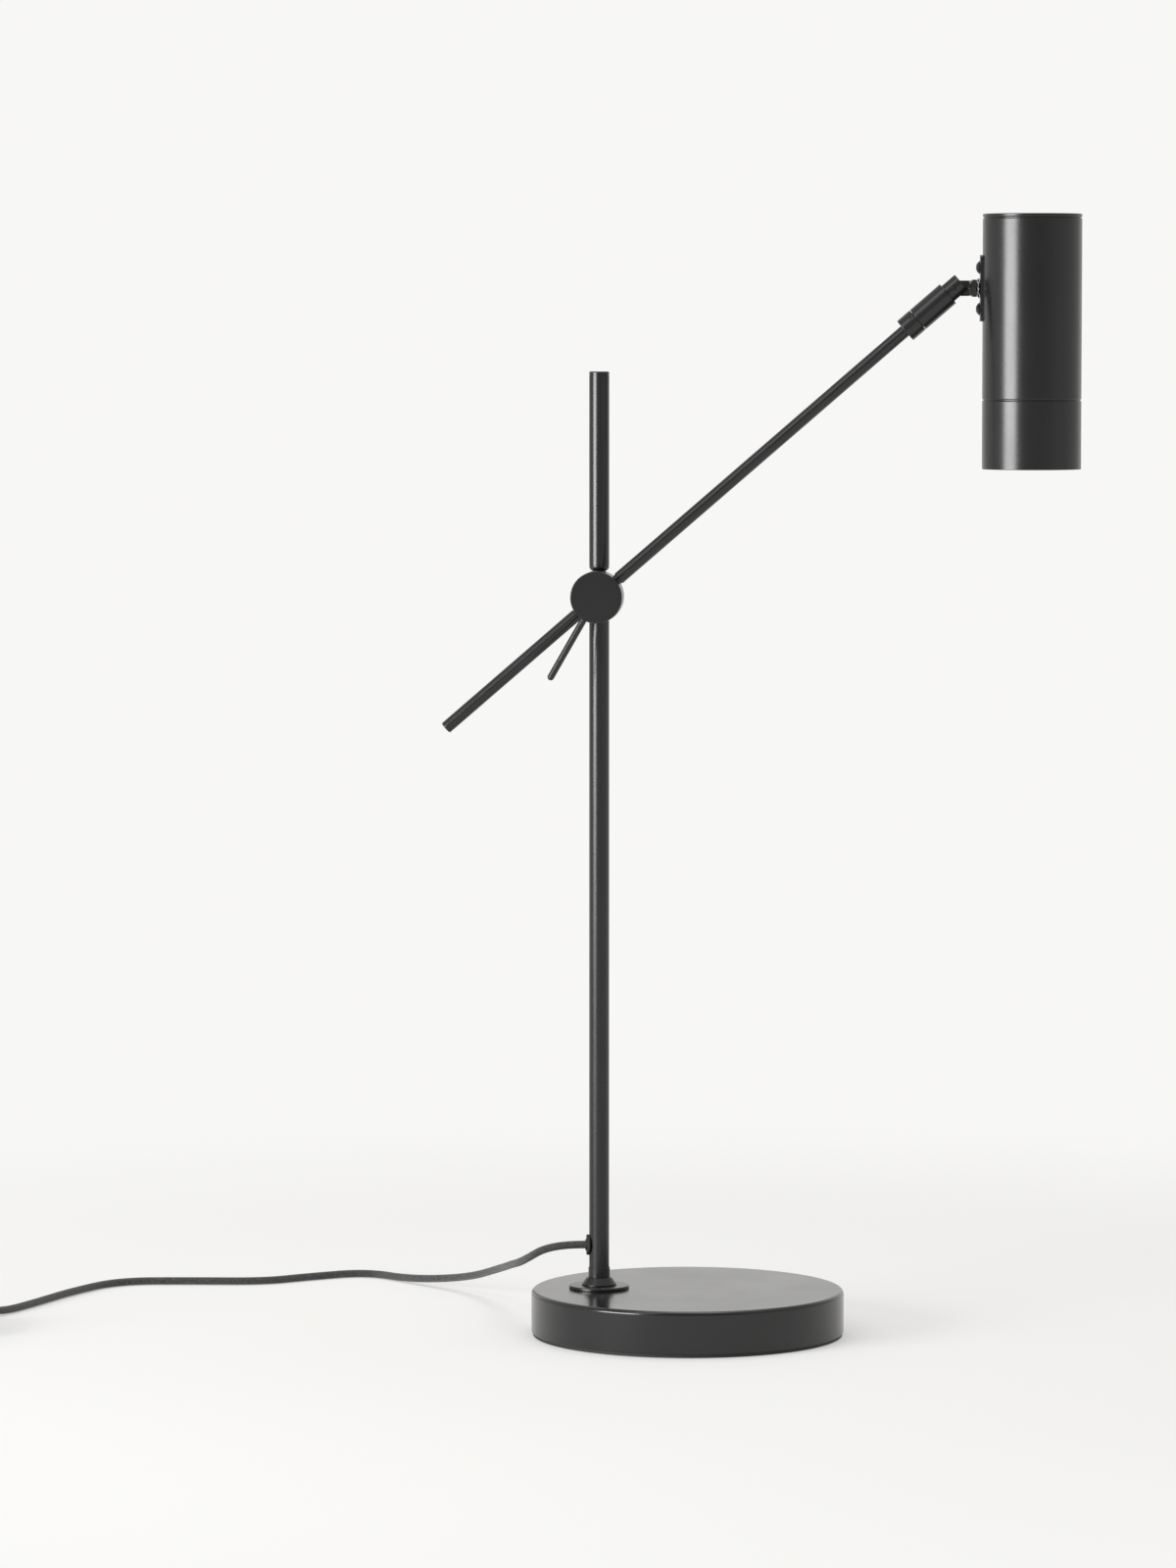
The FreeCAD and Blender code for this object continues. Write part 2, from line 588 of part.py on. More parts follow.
def hub():
    rear = POST_HUB_DEPTH / 2
    floor = POST_HUB_FRONT_Y + HUB_WALL
    body = along_y(POST_HUB_DIAMETER, POST_HUB_FRONT_Y, rear)
    pocket = along_y(2 * POST_POCKET_R, floor, rear)
    boss_end = rear - REAR_CAP_THICKNESS
    body = body.cut(pocket.cut(along_y(BOSS_DIAMETER, floor, boss_end)))
    body = body.cut(along_y(SHOULDER_DIAMETER, POST_HUB_FRONT_Y, rear))
    body = body.cut(cylinder(POST_NECK_DIAMETER, POST_POCKET_R - 1, POST_HUB_R, HUB_CENTRE))
    body = body.cut(cylinder(POST_NECK_DIAMETER, -POST_HUB_R, 1 - POST_POCKET_R, HUB_CENTRE))
    body = body.cut(wire_window(POST_HUB_FRONT_Y, floor))

    ring_face_y = POST_HUB_FRONT_Y - FRICTION_RING_THICKNESS
    ring = along_y(POST_HUB_DIAMETER - 2 * FRICTION_RING_INSET, ring_face_y, POST_HUB_FRONT_Y)
    inset = FRICTION_RING_INSET + FRICTION_RING_WIDTH
    ring = ring.cut(along_y(POST_HUB_DIAMETER - 2 * inset, ring_face_y, POST_HUB_FRONT_Y))

    thread_end = KNOB_REAR_Y - KNOB_THREAD_DEPTH + FACE_GAP
    bolt = along_y(SHOULDER_DIAMETER, ARM_HUB_FRONT_Y, boss_end)
    bolt = bolt.fuse(along_y(BOLT_THREAD_DIAMETER, thread_end, ARM_HUB_FRONT_Y))
    bolt = bolt.fuse(along_y(BOLT_THREAD_DIAMETER, boss_end, rear + REAR_DOME_HEIGHT / 2)).removeSplitter()

    cap = cylinder(2 * POST_POCKET_R, 0, REAR_CAP_THICKNESS)
    dome_radius = ((REAR_DOME_DIAMETER / 2) ** 2 + REAR_DOME_HEIGHT ** 2) / (2 * REAR_DOME_HEIGHT)
    dome_top = REAR_CAP_THICKNESS + REAR_DOME_HEIGHT
    dome = Part.makeSphere(dome_radius, V(0, 0, dome_top - dome_radius))
    dome = dome.common(cylinder(2 * REAR_DOME_DIAMETER, REAR_CAP_THICKNESS, dome_top))
    cap = facing(cap.fuse(dome).removeSplitter(), V(POST_X, boss_end, HUB_HEIGHT), V(0, 1, 0))
    cap = cap.cut(bolt)
    return {"post_hub": body, "friction_ring": ring, "hub_bolt": bolt, "hub_rear_cap": cap}


def lock():
    knob = cylinder(HUB_DIAMETER, 0, KNOB_THICKNESS)
    knob = knob.makeChamfer(KNOB_CHAMFER, rims(knob, HUB_R, KNOB_THICKNESS))
    knob = facing(knob, V(POST_X, KNOB_REAR_Y, HUB_HEIGHT), V(0, -1, 0))
    knob = knob.cut(along_y(BOLT_THREAD_DIAMETER + 2 * RUNNING, KNOB_REAR_Y - KNOB_THREAD_DEPTH, KNOB_REAR_Y))

    inner = HUB_R - LEVER_TENON_LENGTH
    lever = cylinder(LEVER_DIAMETER, HUB_R, LEVER_REACH - LEVER_DIAMETER / 2)
    lever = lever.fuse(Part.makeSphere(LEVER_DIAMETER / 2, V(0, 0, LEVER_REACH - LEVER_DIAMETER / 2)))
    lever = lever.fuse(cylinder(LEVER_TENON_DIAMETER, inner, HUB_R)).removeSplitter()
    lever.Placement = Placement(V(POST_X, LEVER_Y, HUB_HEIGHT), Rotation(V(0, 1, 0), 90 - LEVER_ANGLE))
    return {"lock_knob": knob.cut(lever), "lock_lever": lever}


# ---- Arm --------------------------------------------------------------------------------------
def arm_hub():
    body = along_y(HUB_DIAMETER, ARM_HUB_FRONT_Y, ARM_HUB_REAR_Y)
    floor = ARM_HUB_FRONT_Y + HUB_WALL
    body = body.cut(
        along_y(2 * ARM_POCKET_R, floor, ARM_HUB_REAR_Y).cut(along_y(BOSS_DIAMETER, floor, ARM_HUB_REAR_Y))
    )
    body = body.cut(along_y(SHOULDER_DIAMETER + 2 * RUNNING, ARM_HUB_FRONT_Y, ARM_HUB_REAR_Y))
    for place in (on_arm, on_tail):
        body = body.cut(place(cylinder(ARM_NECK_DIAMETER, ARM_POCKET_R - 1, HUB_R)))
    return body


def arm_nipple():
    """A hollow threaded nipple that joins a tube to the hub and shows as a thin neck between them."""
    neck = cylinder(ARM_NECK_DIAMETER, ARM_POCKET_R, ARM_START)
    neck = neck.fuse(cylinder(2 * ARM_BORE_R, ARM_START, ARM_START + SPIGOT_LENGTH)).removeSplitter()
    return neck.cut(cylinder(WIRE_DIAMETER, ARM_POCKET_R, ARM_START + SPIGOT_LENGTH))


def collar():
    """The fixed half of the swivel, clamped on the arm's end, with the spigot that the sleeve turns on."""
    body = cylinder(SWIVEL_DIAMETER, COLLAR_REACH, COLLAR_END)
    body = body.fuse(cylinder(SWIVEL_SPIGOT_DIAMETER, COLLAR_END, SPIGOT_END)).removeSplitter()
    body = body.cut(cylinder(ARM_DIAMETER, COLLAR_REACH, COLLAR_END))
    body = body.cut(cylinder(WIRE_DIAMETER + HOLE_OVER_WIRE, COLLAR_END, SPIGOT_END))
    groove_bore = SWIVEL_SPIGOT_DIAMETER - 2 * CLIP_GROOVE_DEPTH
    return body.cut(tube(CLIP_DIAMETER, groove_bore, CLIP_START, CLIP_END))


def swivel_clip():
    groove_bore = SWIVEL_SPIGOT_DIAMETER - 2 * CLIP_GROOVE_DEPTH
    ring = tube(CLIP_DIAMETER, groove_bore, CLIP_START, CLIP_END)
    mouth = groove_bore * 0.7
    gap = Part.makeBox(CLIP_DIAMETER, mouth, CLIP_THICKNESS, V(0, -mouth / 2, CLIP_START))
    return ring.cut(gap)


def collar_screw():
    """A slotted grub screw beside the collar's seam, a little above the side that faces -Y."""
    reach = COLLAR_END - COLLAR_SCREW_DIAMETER / 2 - 0.2
    turn = math.radians(COLLAR_SCREW_ANGLE)
    outward = V(-math.sin(turn), -math.cos(turn), 0)
    surface = outward * (SWIVEL_DIAMETER / 2) + V(0, 0, reach)
    return bar(COLLAR_SCREW_DIAMETER, outward * ARM_R + V(0, 0, reach), surface)


def arm():
    screw = collar_screw()
    arm_collar = collar().cut(screw)
    arm_tube = tube(ARM_DIAMETER, 2 * ARM_BORE_R, ARM_START, COLLAR_END)
    tail_tube = tube(ARM_DIAMETER, 2 * ARM_BORE_R, ARM_START, TAIL_REACH - CAP_LIP)
    tail_cap = end_cap(ARM_DIAMETER, 2 * ARM_BORE_R, TAIL_REACH - CAP_LIP - SPIGOT_LENGTH / 2, TAIL_REACH)
    weight_end = TAIL_REACH - CAP_LIP - SPIGOT_LENGTH / 2
    tail_weight = cylinder(2 * ARM_BORE_R, weight_end - TAIL_WEIGHT_LENGTH, weight_end)
    nipples = Part.makeCompound([on_arm(arm_nipple()), on_tail(arm_nipple())])
    return {
        "arm_hub": arm_hub(),
        "arm_nipples": nipples,
        "arm_tube": on_arm(arm_tube),
        "tail_tube": on_tail(tail_tube),
        "tail_cap": on_tail(tail_cap),
        "tail_weight": on_tail(tail_weight),
        "swivel_collar": on_arm(arm_collar),
        "collar_screw": on_arm(screw),
        "swivel_clip": on_arm(swivel_clip()),
    }


# ---- Swivel -----------------------------------------------------------------------------------
def swivel():
    """The sleeve turns on the collar's spigot and carries the fork that the head tilts in."""
    chamber_end = SPIGOT_END + FACE_GAP
    sleeve = cylinder(SWIVEL_DIAMETER, SLEEVE_START, FORK_ROOT)
    sleeve = sleeve.fuse(cylinder(FORK_DIAMETER, FORK_ROOT, FORK_END)).removeSplitter()
    sleeve = sleeve.makeChamfer(FORK_CHAMFER, rims(sleeve, FORK_DIAMETER / 2, FORK_END))
    sleeve = sleeve.cut(cylinder(SWIVEL_SPIGOT_DIAMETER + 2 * RUNNING, SLEEVE_START, chamber_end))
    clip_room = CLIP_DIAMETER + 2 * SLIP
    sleeve = sleeve.cut(cylinder(clip_room, CLIP_START - FACE_GAP, chamber_end))
    sleeve = sleeve.cut(cylinder(WIRE_DIAMETER + HOLE_OVER_WIRE, chamber_end, FORK_ROOT))
    slot = TONGUE_THICKNESS + 2 * TONGUE_SIDE_GAP
    slot_length = FORK_END - FORK_ROOT
    sleeve = sleeve.cut(
        Part.makeBox(SWIVEL_DIAMETER, slot, slot_length, V(-SWIVEL_DIAMETER / 2, -slot / 2, FORK_ROOT))
    )
    half = FORK_DIAMETER / 2 - 0.2
    pin = bar(KNUCKLE_PIN_DIAMETER, V(0, -half, PIVOT_REACH), V(0, half, PIVOT_REACH))
    through = bar(KNUCKLE_PIN_DIAMETER, V(0, -FORK_DIAMETER, PIVOT_REACH), V(0, FORK_DIAMETER, PIVOT_REACH))
    return {"swivel_sleeve": on_arm(sleeve.cut(through)), "knuckle_pin": on_arm(pin)}


# ---- Head -------------------------------------------------------------------------------------
def on_neck(shape):
    """Places a shape made along +Z from the pivot along the neck, towards the head."""
    return facing(shape, PIVOT, V(1, 0, 0))


def neck():
    """A flat tongue on the knuckle pin, then a round shoulder and a hollow thread into the head."""
    thread_end = SADDLE_FACE + SADDLE_THICKNESS + HEAD_WALL + 1 + HEAD_NUT_THICKNESS
    half = TONGUE_WIDTH / 2
    tongue = Part.makeBox(TONGUE_THICKNESS, TONGUE_WIDTH, NECK_SHOULDER, V(-TONGUE_THICKNESS / 2, -half, 0))
    eye = bar(TONGUE_WIDTH, V(-TONGUE_THICKNESS / 2, 0, 0), V(TONGUE_THICKNESS / 2, 0, 0))
    body = tongue.fuse([eye, cylinder(TONGUE_WIDTH, NECK_SHOULDER, NUT_START)])
    body = body.fuse(cylinder(NECK_THREAD_DIAMETER, NUT_START, thread_end)).removeSplitter()
    body = body.cut(cylinder(NECK_BORE, NECK_SHOULDER, thread_end))
    pin_hole = KNUCKLE_PIN_DIAMETER + 2 * RUNNING
    body = body.cut(bar(pin_hole, V(-TONGUE_THICKNESS, 0, 0), V(TONGUE_THICKNESS, 0, 0)))
    body.Placement = Placement(PIVOT, Rotation(V(0, 1, 0), 90).multiply(Rotation(V(0, 0, 1), 90)))
    return body


def star_washer():
    start = NUT_START + HEAD_NUT_THICKNESS
    washer = tube(STAR_WASHER_DIAMETER, NECK_THREAD_DIAMETER, start, start + STAR_WASHER_THICKNESS)
    outer = STAR_WASHER_DIAMETER / 2
    for k in range(STAR_TEETH):
        notch = Part.makeBox(
            STAR_NOTCH_DEPTH * 2,
            STAR_NOTCH_WIDTH,
            STAR_WASHER_THICKNESS,
            V(outer - STAR_NOTCH_DEPTH, -STAR_NOTCH_WIDTH / 2, start),
        )
        notch.rotate(V(0, 0, 0), V(0, 0, 1), k * 360 / STAR_TEETH)
        washer = washer.cut(notch)
    return on_neck(washer)


def head_nut(start):
    """A hexagon nut on the neck's thread, with two corners up and down."""
    nut = hexagon(HEAD_NUT_CORNERS * math.sqrt(3) / 2, start, start + HEAD_NUT_THICKNESS)
    nut = nut.cut(cylinder(NECK_THREAD_DIAMETER, start, start + HEAD_NUT_THICKNESS))
    return on_neck(nut)


def wall_plate(width, low, high, inner, thickness, corner):
    """A plate bent to a round wall about the head's axis, on the side that faces the arm."""
    axis = V(HEAD_X, ARM_Y, 0)
    blank = rounded_block(high - low, width, HEAD_R, corner)
    blank.Placement = Placement(V(HEAD_X, ARM_Y, (low + high) / 2), Rotation(V(0, 1, 0), -90))
    blank = blank.translated(V(-HEAD_R * 0.5, 0, 0))
    return blank.common(tube(2 * (inner + thickness), 2 * inner, low, high, axis))


def saddle():
    half = SADDLE_HEIGHT / 2
    return wall_plate(SADDLE_WIDTH, PIVOT.z - half, PIVOT.z + half, HEAD_R, SADDLE_THICKNESS, SADDLE_CORNER)


def saddle_screws():
    length = SADDLE_THICKNESS + HEAD_WALL + BRACKET_THICKNESS + 1.5
    screws = []
    for side in (-1, 1):
        screw = domed_screw(SADDLE_SCREW_DIAMETER, length, SADDLE_SCREW_HEAD, SADDLE_SCREW_DOME)
        place = PIVOT + V(SADDLE_FACE, 0, side * SADDLE_SCREW_PITCH / 2)
        screws.append(facing(screw, place, V(1, 0, 0)))
    return Part.makeCompound(screws)


def through_saddle(shape, neck_diameter):
    """Cuts the holes of the neck and of the two saddle screws."""
    far = PIVOT + V(HEAD_R, 0, 0)
    shape = shape.cut(bar(neck_diameter, PIVOT, far))
    for side in (-1, 1):
        rise = V(0, 0, side * SADDLE_SCREW_PITCH / 2)
        shape = shape.cut(bar(SADDLE_SCREW_DIAMETER, PIVOT + rise, far + rise))
    return shape


def shade():
    """The head's tube, its top cap, the front ring that unscrews to change the lamp, and the ring's
    flat retainer, which frames the lamp's rim."""
    axis = V(HEAD_X, ARM_Y, 0)
    shell = tube(HEAD_DIAMETER, 2 * HEAD_BORE_R, RING_TOP, HEAD_TUBE_TOP, axis)
    shell = through_saddle(shell, NECK_THREAD_DIAMETER)

    cap = cylinder(HEAD_DIAMETER, HEAD_TUBE_TOP + SEAM_WIDTH, HEAD_TOP, axis)
    cap = rounded(cap, HEAD_EDGE_ROUND, (HEAD_R, HEAD_TOP))
    cap = cap.fuse(cylinder(HEAD_DIAMETER - 2 * SEAM_DEPTH, HEAD_TUBE_TOP, HEAD_TUBE_TOP + SEAM_WIDTH, axis))
    spigot_bore = HEAD_BORE_R - RING_SPIGOT_WALL
    skirt = tube(2 * HEAD_BORE_R, 2 * spigot_bore, HEAD_TUBE_TOP - CAP_LIP, HEAD_TUBE_TOP, axis)
    cap = cap.fuse(skirt).removeSplitter()

    ring = turned(
        [
            (HEAD_BORE_R, HEAD_BOTTOM + RING_LIP),
            (HEAD_BORE_R + HEAD_WALL / 2, HEAD_BOTTOM),
            (HEAD_R - HEAD_EDGE_ROUND / 2, HEAD_BOTTOM),
            (HEAD_R, HEAD_BOTTOM + HEAD_EDGE_ROUND / 2),
            (HEAD_R, RING_TOP - SEAM_WIDTH),
            (HEAD_R - SEAM_DEPTH, RING_TOP - SEAM_WIDTH),
            (HEAD_R - SEAM_DEPTH, RING_TOP),
            (HEAD_BORE_R, RING_TOP),
            (HEAD_BORE_R, RING_TOP + RING_SPIGOT_LENGTH),
            (spigot_bore, RING_TOP + RING_SPIGOT_LENGTH),
            (spigot_bore, RETAINER_TOP),
            (HEAD_BORE_R, RETAINER_TOP),
        ],
        axis,
    )
    retainer = tube(2 * HEAD_BORE_R, RETAINER_OPENING, HEAD_BOTTOM + MOUTH_DEPTH, RETAINER_TOP, axis)
    return {"head_tube": shell, "head_cap": cap, "head_ring": ring, "lamp_retainer": retainer}


def lamp():
    """A reflector lamp: a glass lens in a tapered body with two locking pins."""
    axis = V(HEAD_X, ARM_Y, RETAINER_TOP)
    rim, neck_r = LAMP_DIAMETER / 2, LAMP_NECK_DIAMETER / 2
    seat = LENS_RECESS + LENS_THICKNESS
    body = turned(
        [
            (0, seat),
            (LENS_DIAMETER / 2, seat),
            (LENS_DIAMETER / 2, 0),
            (rim, 0),
            (rim, LAMP_RIM_HEIGHT),
            (rim * 0.8 + neck_r * 0.2, LAMP_TAPER_TOP * 0.55),
            (neck_r, LAMP_TAPER_TOP),
            (neck_r, LAMP_BODY_HEIGHT),
            (0, LAMP_BODY_HEIGHT),
        ],
        axis,
    )
    lens = cylinder(LENS_DIAMETER, LENS_RECESS, seat, axis)
    return body.fuse(lamp_pins()).removeSplitter(), lens


def lamp_pins():
    axis = V(HEAD_X, ARM_Y, RETAINER_TOP)
    end = LAMP_BODY_HEIGHT + LAMP_PIN_LENGTH
    return [
        cylinder(LAMP_PIN_DIAMETER, LAMP_BODY_HEIGHT, end, axis + V(0, side * LAMP_PIN_PITCH / 2, 0))
        for side in (-1, 1)
    ]


def lamp_carrier():
    """The ceramic lamp holder, the bent steel bracket that hangs it from the saddle screws, its
    screws, and the terminal block on top of the bracket."""
    axis = V(HEAD_X, ARM_Y, 0)
    holder = cylinder(HOLDER_DIAMETER, LAMP_TOP, HOLDER_TOP, axis)
    holder = holder.makeChamfer(1.0, rims(holder, HOLDER_DIAMETER / 2, HOLDER_TOP)).cut(
        Part.makeCompound(lamp_pins())
    )
    shelf_top = HOLDER_TOP + BRACKET_THICKNESS
    wall = HEAD_BORE_R
    reach = wall - BRACKET_THICKNESS
    shelf = Part.makeBox(
        reach + BRACKET_PLATE_HALF,
        BRACKET_WIDTH,
        BRACKET_THICKNESS,
        V(HEAD_X - reach, ARM_Y - BRACKET_WIDTH / 2, HOLDER_TOP),
    )
    shelf = shelf.common(cylinder(2 * reach, HOLDER_TOP, shelf_top, axis))
    tab = wall_plate(BRACKET_WIDTH, HOLDER_TOP, BRACKET_TOP, reach, BRACKET_THICKNESS, 1.0)
    bracket = shelf.fuse(tab).removeSplitter()
    nut_room = HEAD_NUT_CORNERS + 2
    bracket = through_saddle(bracket, nut_room)

    screws = []
    for side in (-1, 1):
        place = axis + V(side * HOLDER_SCREW_PITCH / 2, 0, shelf_top)
        shank = cylinder(HOLDER_SCREW_DIAMETER, -HOLDER_SCREW_DEPTH, 0, place)
        screw_head = cylinder(HOLDER_SCREW_HEAD, 0, HOLDER_SCREW_HEAD_HEIGHT, place)
        screws.append(shank.fuse(screw_head).removeSplitter())
    screws = Part.makeCompound(screws)

    block = Part.makeBox(
        TERMINAL_WIDTH,
        TERMINAL_LENGTH,
        TERMINAL_HEIGHT,
        V(HEAD_X - TERMINAL_WIDTH / 2, ARM_Y - TERMINAL_LENGTH / 2, shelf_top),
    )
    for side in (-1, 1):
        place = axis + V(0, side * TERMINAL_LENGTH / 4, shelf_top + TERMINAL_HEIGHT)
        block = block.cut(cylinder(TERMINAL_SCREW_HOLE, -TERMINAL_SCREW_DEPTH, 0, place))
    return {
        "lamp_holder": holder.cut(screws),
        "holder_bracket": bracket.cut(screws),
        "holder_screws": screws,
        "terminal_block": block,
    }


def head():
    inner_nut = SADDLE_FACE + SADDLE_THICKNESS + HEAD_R
    inner_nut -= math.sqrt(HEAD_BORE_R ** 2 - (HEAD_NUT_CORNERS / 2) ** 2)
    lamp_body, lamp_lens = lamp()
    pieces = {
        "swivel_neck": neck(),
        "neck_nuts": Part.makeCompound([head_nut(NUT_START), head_nut(inner_nut)]),
        "star_washer": star_washer(),
        "saddle_plate": through_saddle(saddle(), NECK_THREAD_DIAMETER),
        "saddle_screws": saddle_screws(),
        "lamp_body": lamp_body,
        "lamp_lens": lamp_lens,
    }
    pieces.update(shade())
    pieces.update(lamp_carrier())
    return pieces


# ---- Wires inside the lamp ----------------------------------------------------------------------
def wires():
    inlet = (GROMMET_FACE_X, 0, CORD_EXIT_HEIGHT)
    in_post = routed(
        "post_wire",
        [inlet, (POST_X, 0, CORD_EXIT_HEIGHT), (POST_X, 0, HUB_HEIGHT - POST_POCKET_R)],
        WIRE_DIAMETER,
    )
    in_arm = on_arm(cylinder(WIRE_DIAMETER, ARM_POCKET_R, SPIGOT_END))
    terminal_top = HOLDER_TOP + BRACKET_THICKNESS + TERMINAL_HEIGHT
    bend_x = HEAD_X + 1.0
    neck_end = PIVOT.x + SADDLE_FACE + SADDLE_THICKNESS + HEAD_WALL + 1 + HEAD_NUT_THICKNESS
    in_head = routed(
        "head_wire",
        [(neck_end - 8, ARM_Y, PIVOT.z), (bend_x, ARM_Y, PIVOT.z), (bend_x, ARM_Y, terminal_top)],
        WIRE_DIAMETER,
    )
    return {"post_wire": in_post, "arm_wire": in_arm, "head_wire": in_head}


# ---- Cord, switch and plug ----------------------------------------------------------------------
SWITCH_AXIS_Z = SWITCH_HEIGHT / 2
COIL_CENTRE = V(SWITCH_X - COIL_OUTER_RADIUS, SWITCH_NEAR_Y - SWITCH_LENGTH - COIL_SETBACK, 0)

# The cord leaves the grommet, sinks to the table behind the foot, wanders out to the left, and
# comes forward to the switch.
LEAD_ROUTE = [
    (GROMMET_FACE_X, 0, CORD_EXIT_HEIGHT),
    (-86, 0, CORD_EXIT_HEIGHT),
    (-102.5, 12, 43.2),
    (-115, 51, 41.1),
    (-116, 108.7, 29),
    (-150, 161.3, 10.4),
    (-190.1, 200.6, CORD_R),
    (-222.3, 231.3, CORD_R),
    (-261, 205.4, CORD_R),
    (-284.2, 185.7, CORD_R),
    (-330.6, 184.3, CORD_R),
    (-378.9, 180.2, CORD_R),
    (-402.4, 131.4, CORD_R),
    (-417.2, 85, CORD_R),
    (-433.2, 42.9, CORD_R),
    (SWITCH_X, 24, SWITCH_AXIS_Z),
    (SWITCH_X, SWITCH_NEAR_Y, SWITCH_AXIS_Z),
]
# It sinks from the switch to the coil, and from the top of the coil to the plug beside it.
SWITCH_FAR_Y = SWITCH_NEAR_Y - SWITCH_LENGTH
LINK_ROUTE = [
    (SWITCH_X, SWITCH_FAR_Y, SWITCH_AXIS_Z),
    (SWITCH_X, SWITCH_FAR_Y - 12, SWITCH_AXIS_Z),
    (SWITCH_X, SWITCH_FAR_Y - 30, CORD_R),
    (SWITCH_X, COIL_CENTRE.y + CORD_DIAMETER, CORD_R),
]
END_ROUTE = [
    (COIL_CENTRE.x - COIL_OUTER_RADIUS, COIL_CENTRE.y + CORD_DIAMETER, CORD_R + COIL_LAYER_RISE),
    (COIL_CENTRE.x - COIL_OUTER_RADIUS, COIL_CENTRE.y + 24, CORD_R + COIL_LAYER_RISE),
    (-518, COIL_CENTRE.y + 54, CORD_R),
    (-511, COIL_CENTRE.y + 78, CORD_R),
    (PLUG_X, PLUG_NEAR_Y - 16, PLUG_THICKNESS / 2),
    (PLUG_X, PLUG_NEAR_Y, PLUG_THICKNESS / 2),
]


def coil_point(turn):
    """Where the coil's centreline is at a turn counted from its innermost point, and its direction.
    It spirals in on the table, climbs a layer in the half turn around turn 0, and spirals out."""
    radius = COIL_INNER_RADIUS + COIL_PITCH * abs(turn)
    angle = -2 * math.pi * (turn + COIL_TURNS / 2)
    climb = min(1.0, max(0.0, 2 * turn + 0.5))
    height = CORD_R + COIL_LAYER_RISE * (1 - math.cos(math.pi * climb)) / 2
    place = COIL_CENTRE + V(radius * math.cos(angle), radius * math.sin(angle), height)
    outward = V(math.cos(angle), math.sin(angle), 0)
    onward = V(math.sin(angle), -math.cos(angle), 0)
    growth = COIL_PITCH / (2 * math.pi * radius) * (1 if turn > 0 else -1)
    direction = onward + outward * growth
    return place, direction * (1 / direction.Length)


def coil():
    """The put-away length as one unbroken tube on arcs, with a straight end of one diameter at each end."""
    half_turns = round(2 * COIL_TURNS)
    marks = [(k - half_turns / 2) / 2 for k in range(half_turns + 1)]
    nodes = [coil_point(turn) for turn in marks]
    enter, leave = V(0, -1, 0), V(0, 1, 0)
    nodes[0] = (nodes[0][0], enter)
    nodes[-1] = (nodes[-1][0], leave)
    start = nodes[0][0] - enter * CORD_DIAMETER
    end = nodes[-1][0] + leave * CORD_DIAMETER
    edges = [Part.LineSegment(start, nodes[0][0]).toShape()]
    for (here, direction), (there, next_direction) in zip(nodes, nodes[1:]):
        edges += biarc(here, direction, there, next_direction)
    edges.append(Part.LineSegment(nodes[-1][0], end).toShape())
    solid, length, ratio = swept_round(edges, start, enter, CORD_DIAMETER)
    print(f"cord_coil: length {length:.1f}, volume ratio {ratio:.4f}, least gap {least_gap(edges):.2f}")
    return solid


def least_gap(edges):
    """The least distance between stretches of the coil that are over a quarter turn apart, less the cord."""
    points, along = [], 0.0
    for edge in edges:
        count = max(2, round(edge.Length / 2))
        first, last = edge.ParameterRange
        forward = edge.valueAt(first)
        if points and (forward - points[-1][1]).Length > 1e-3:
            first, last = last, first
        for k in range(count + 1):
            points.append((along + edge.Length * k / count, edge.valueAt(first + (last - first) * k / count)))
        along += edge.Length
    apart = math.pi * COIL_INNER_RADIUS / 2
    least = min(
        (p - q).Length
        for i, (s, p) in enumerate(points)
        for t, q in points[i + 1 :]
        if t - s > apart
    )
    return least - CORD_DIAMETER


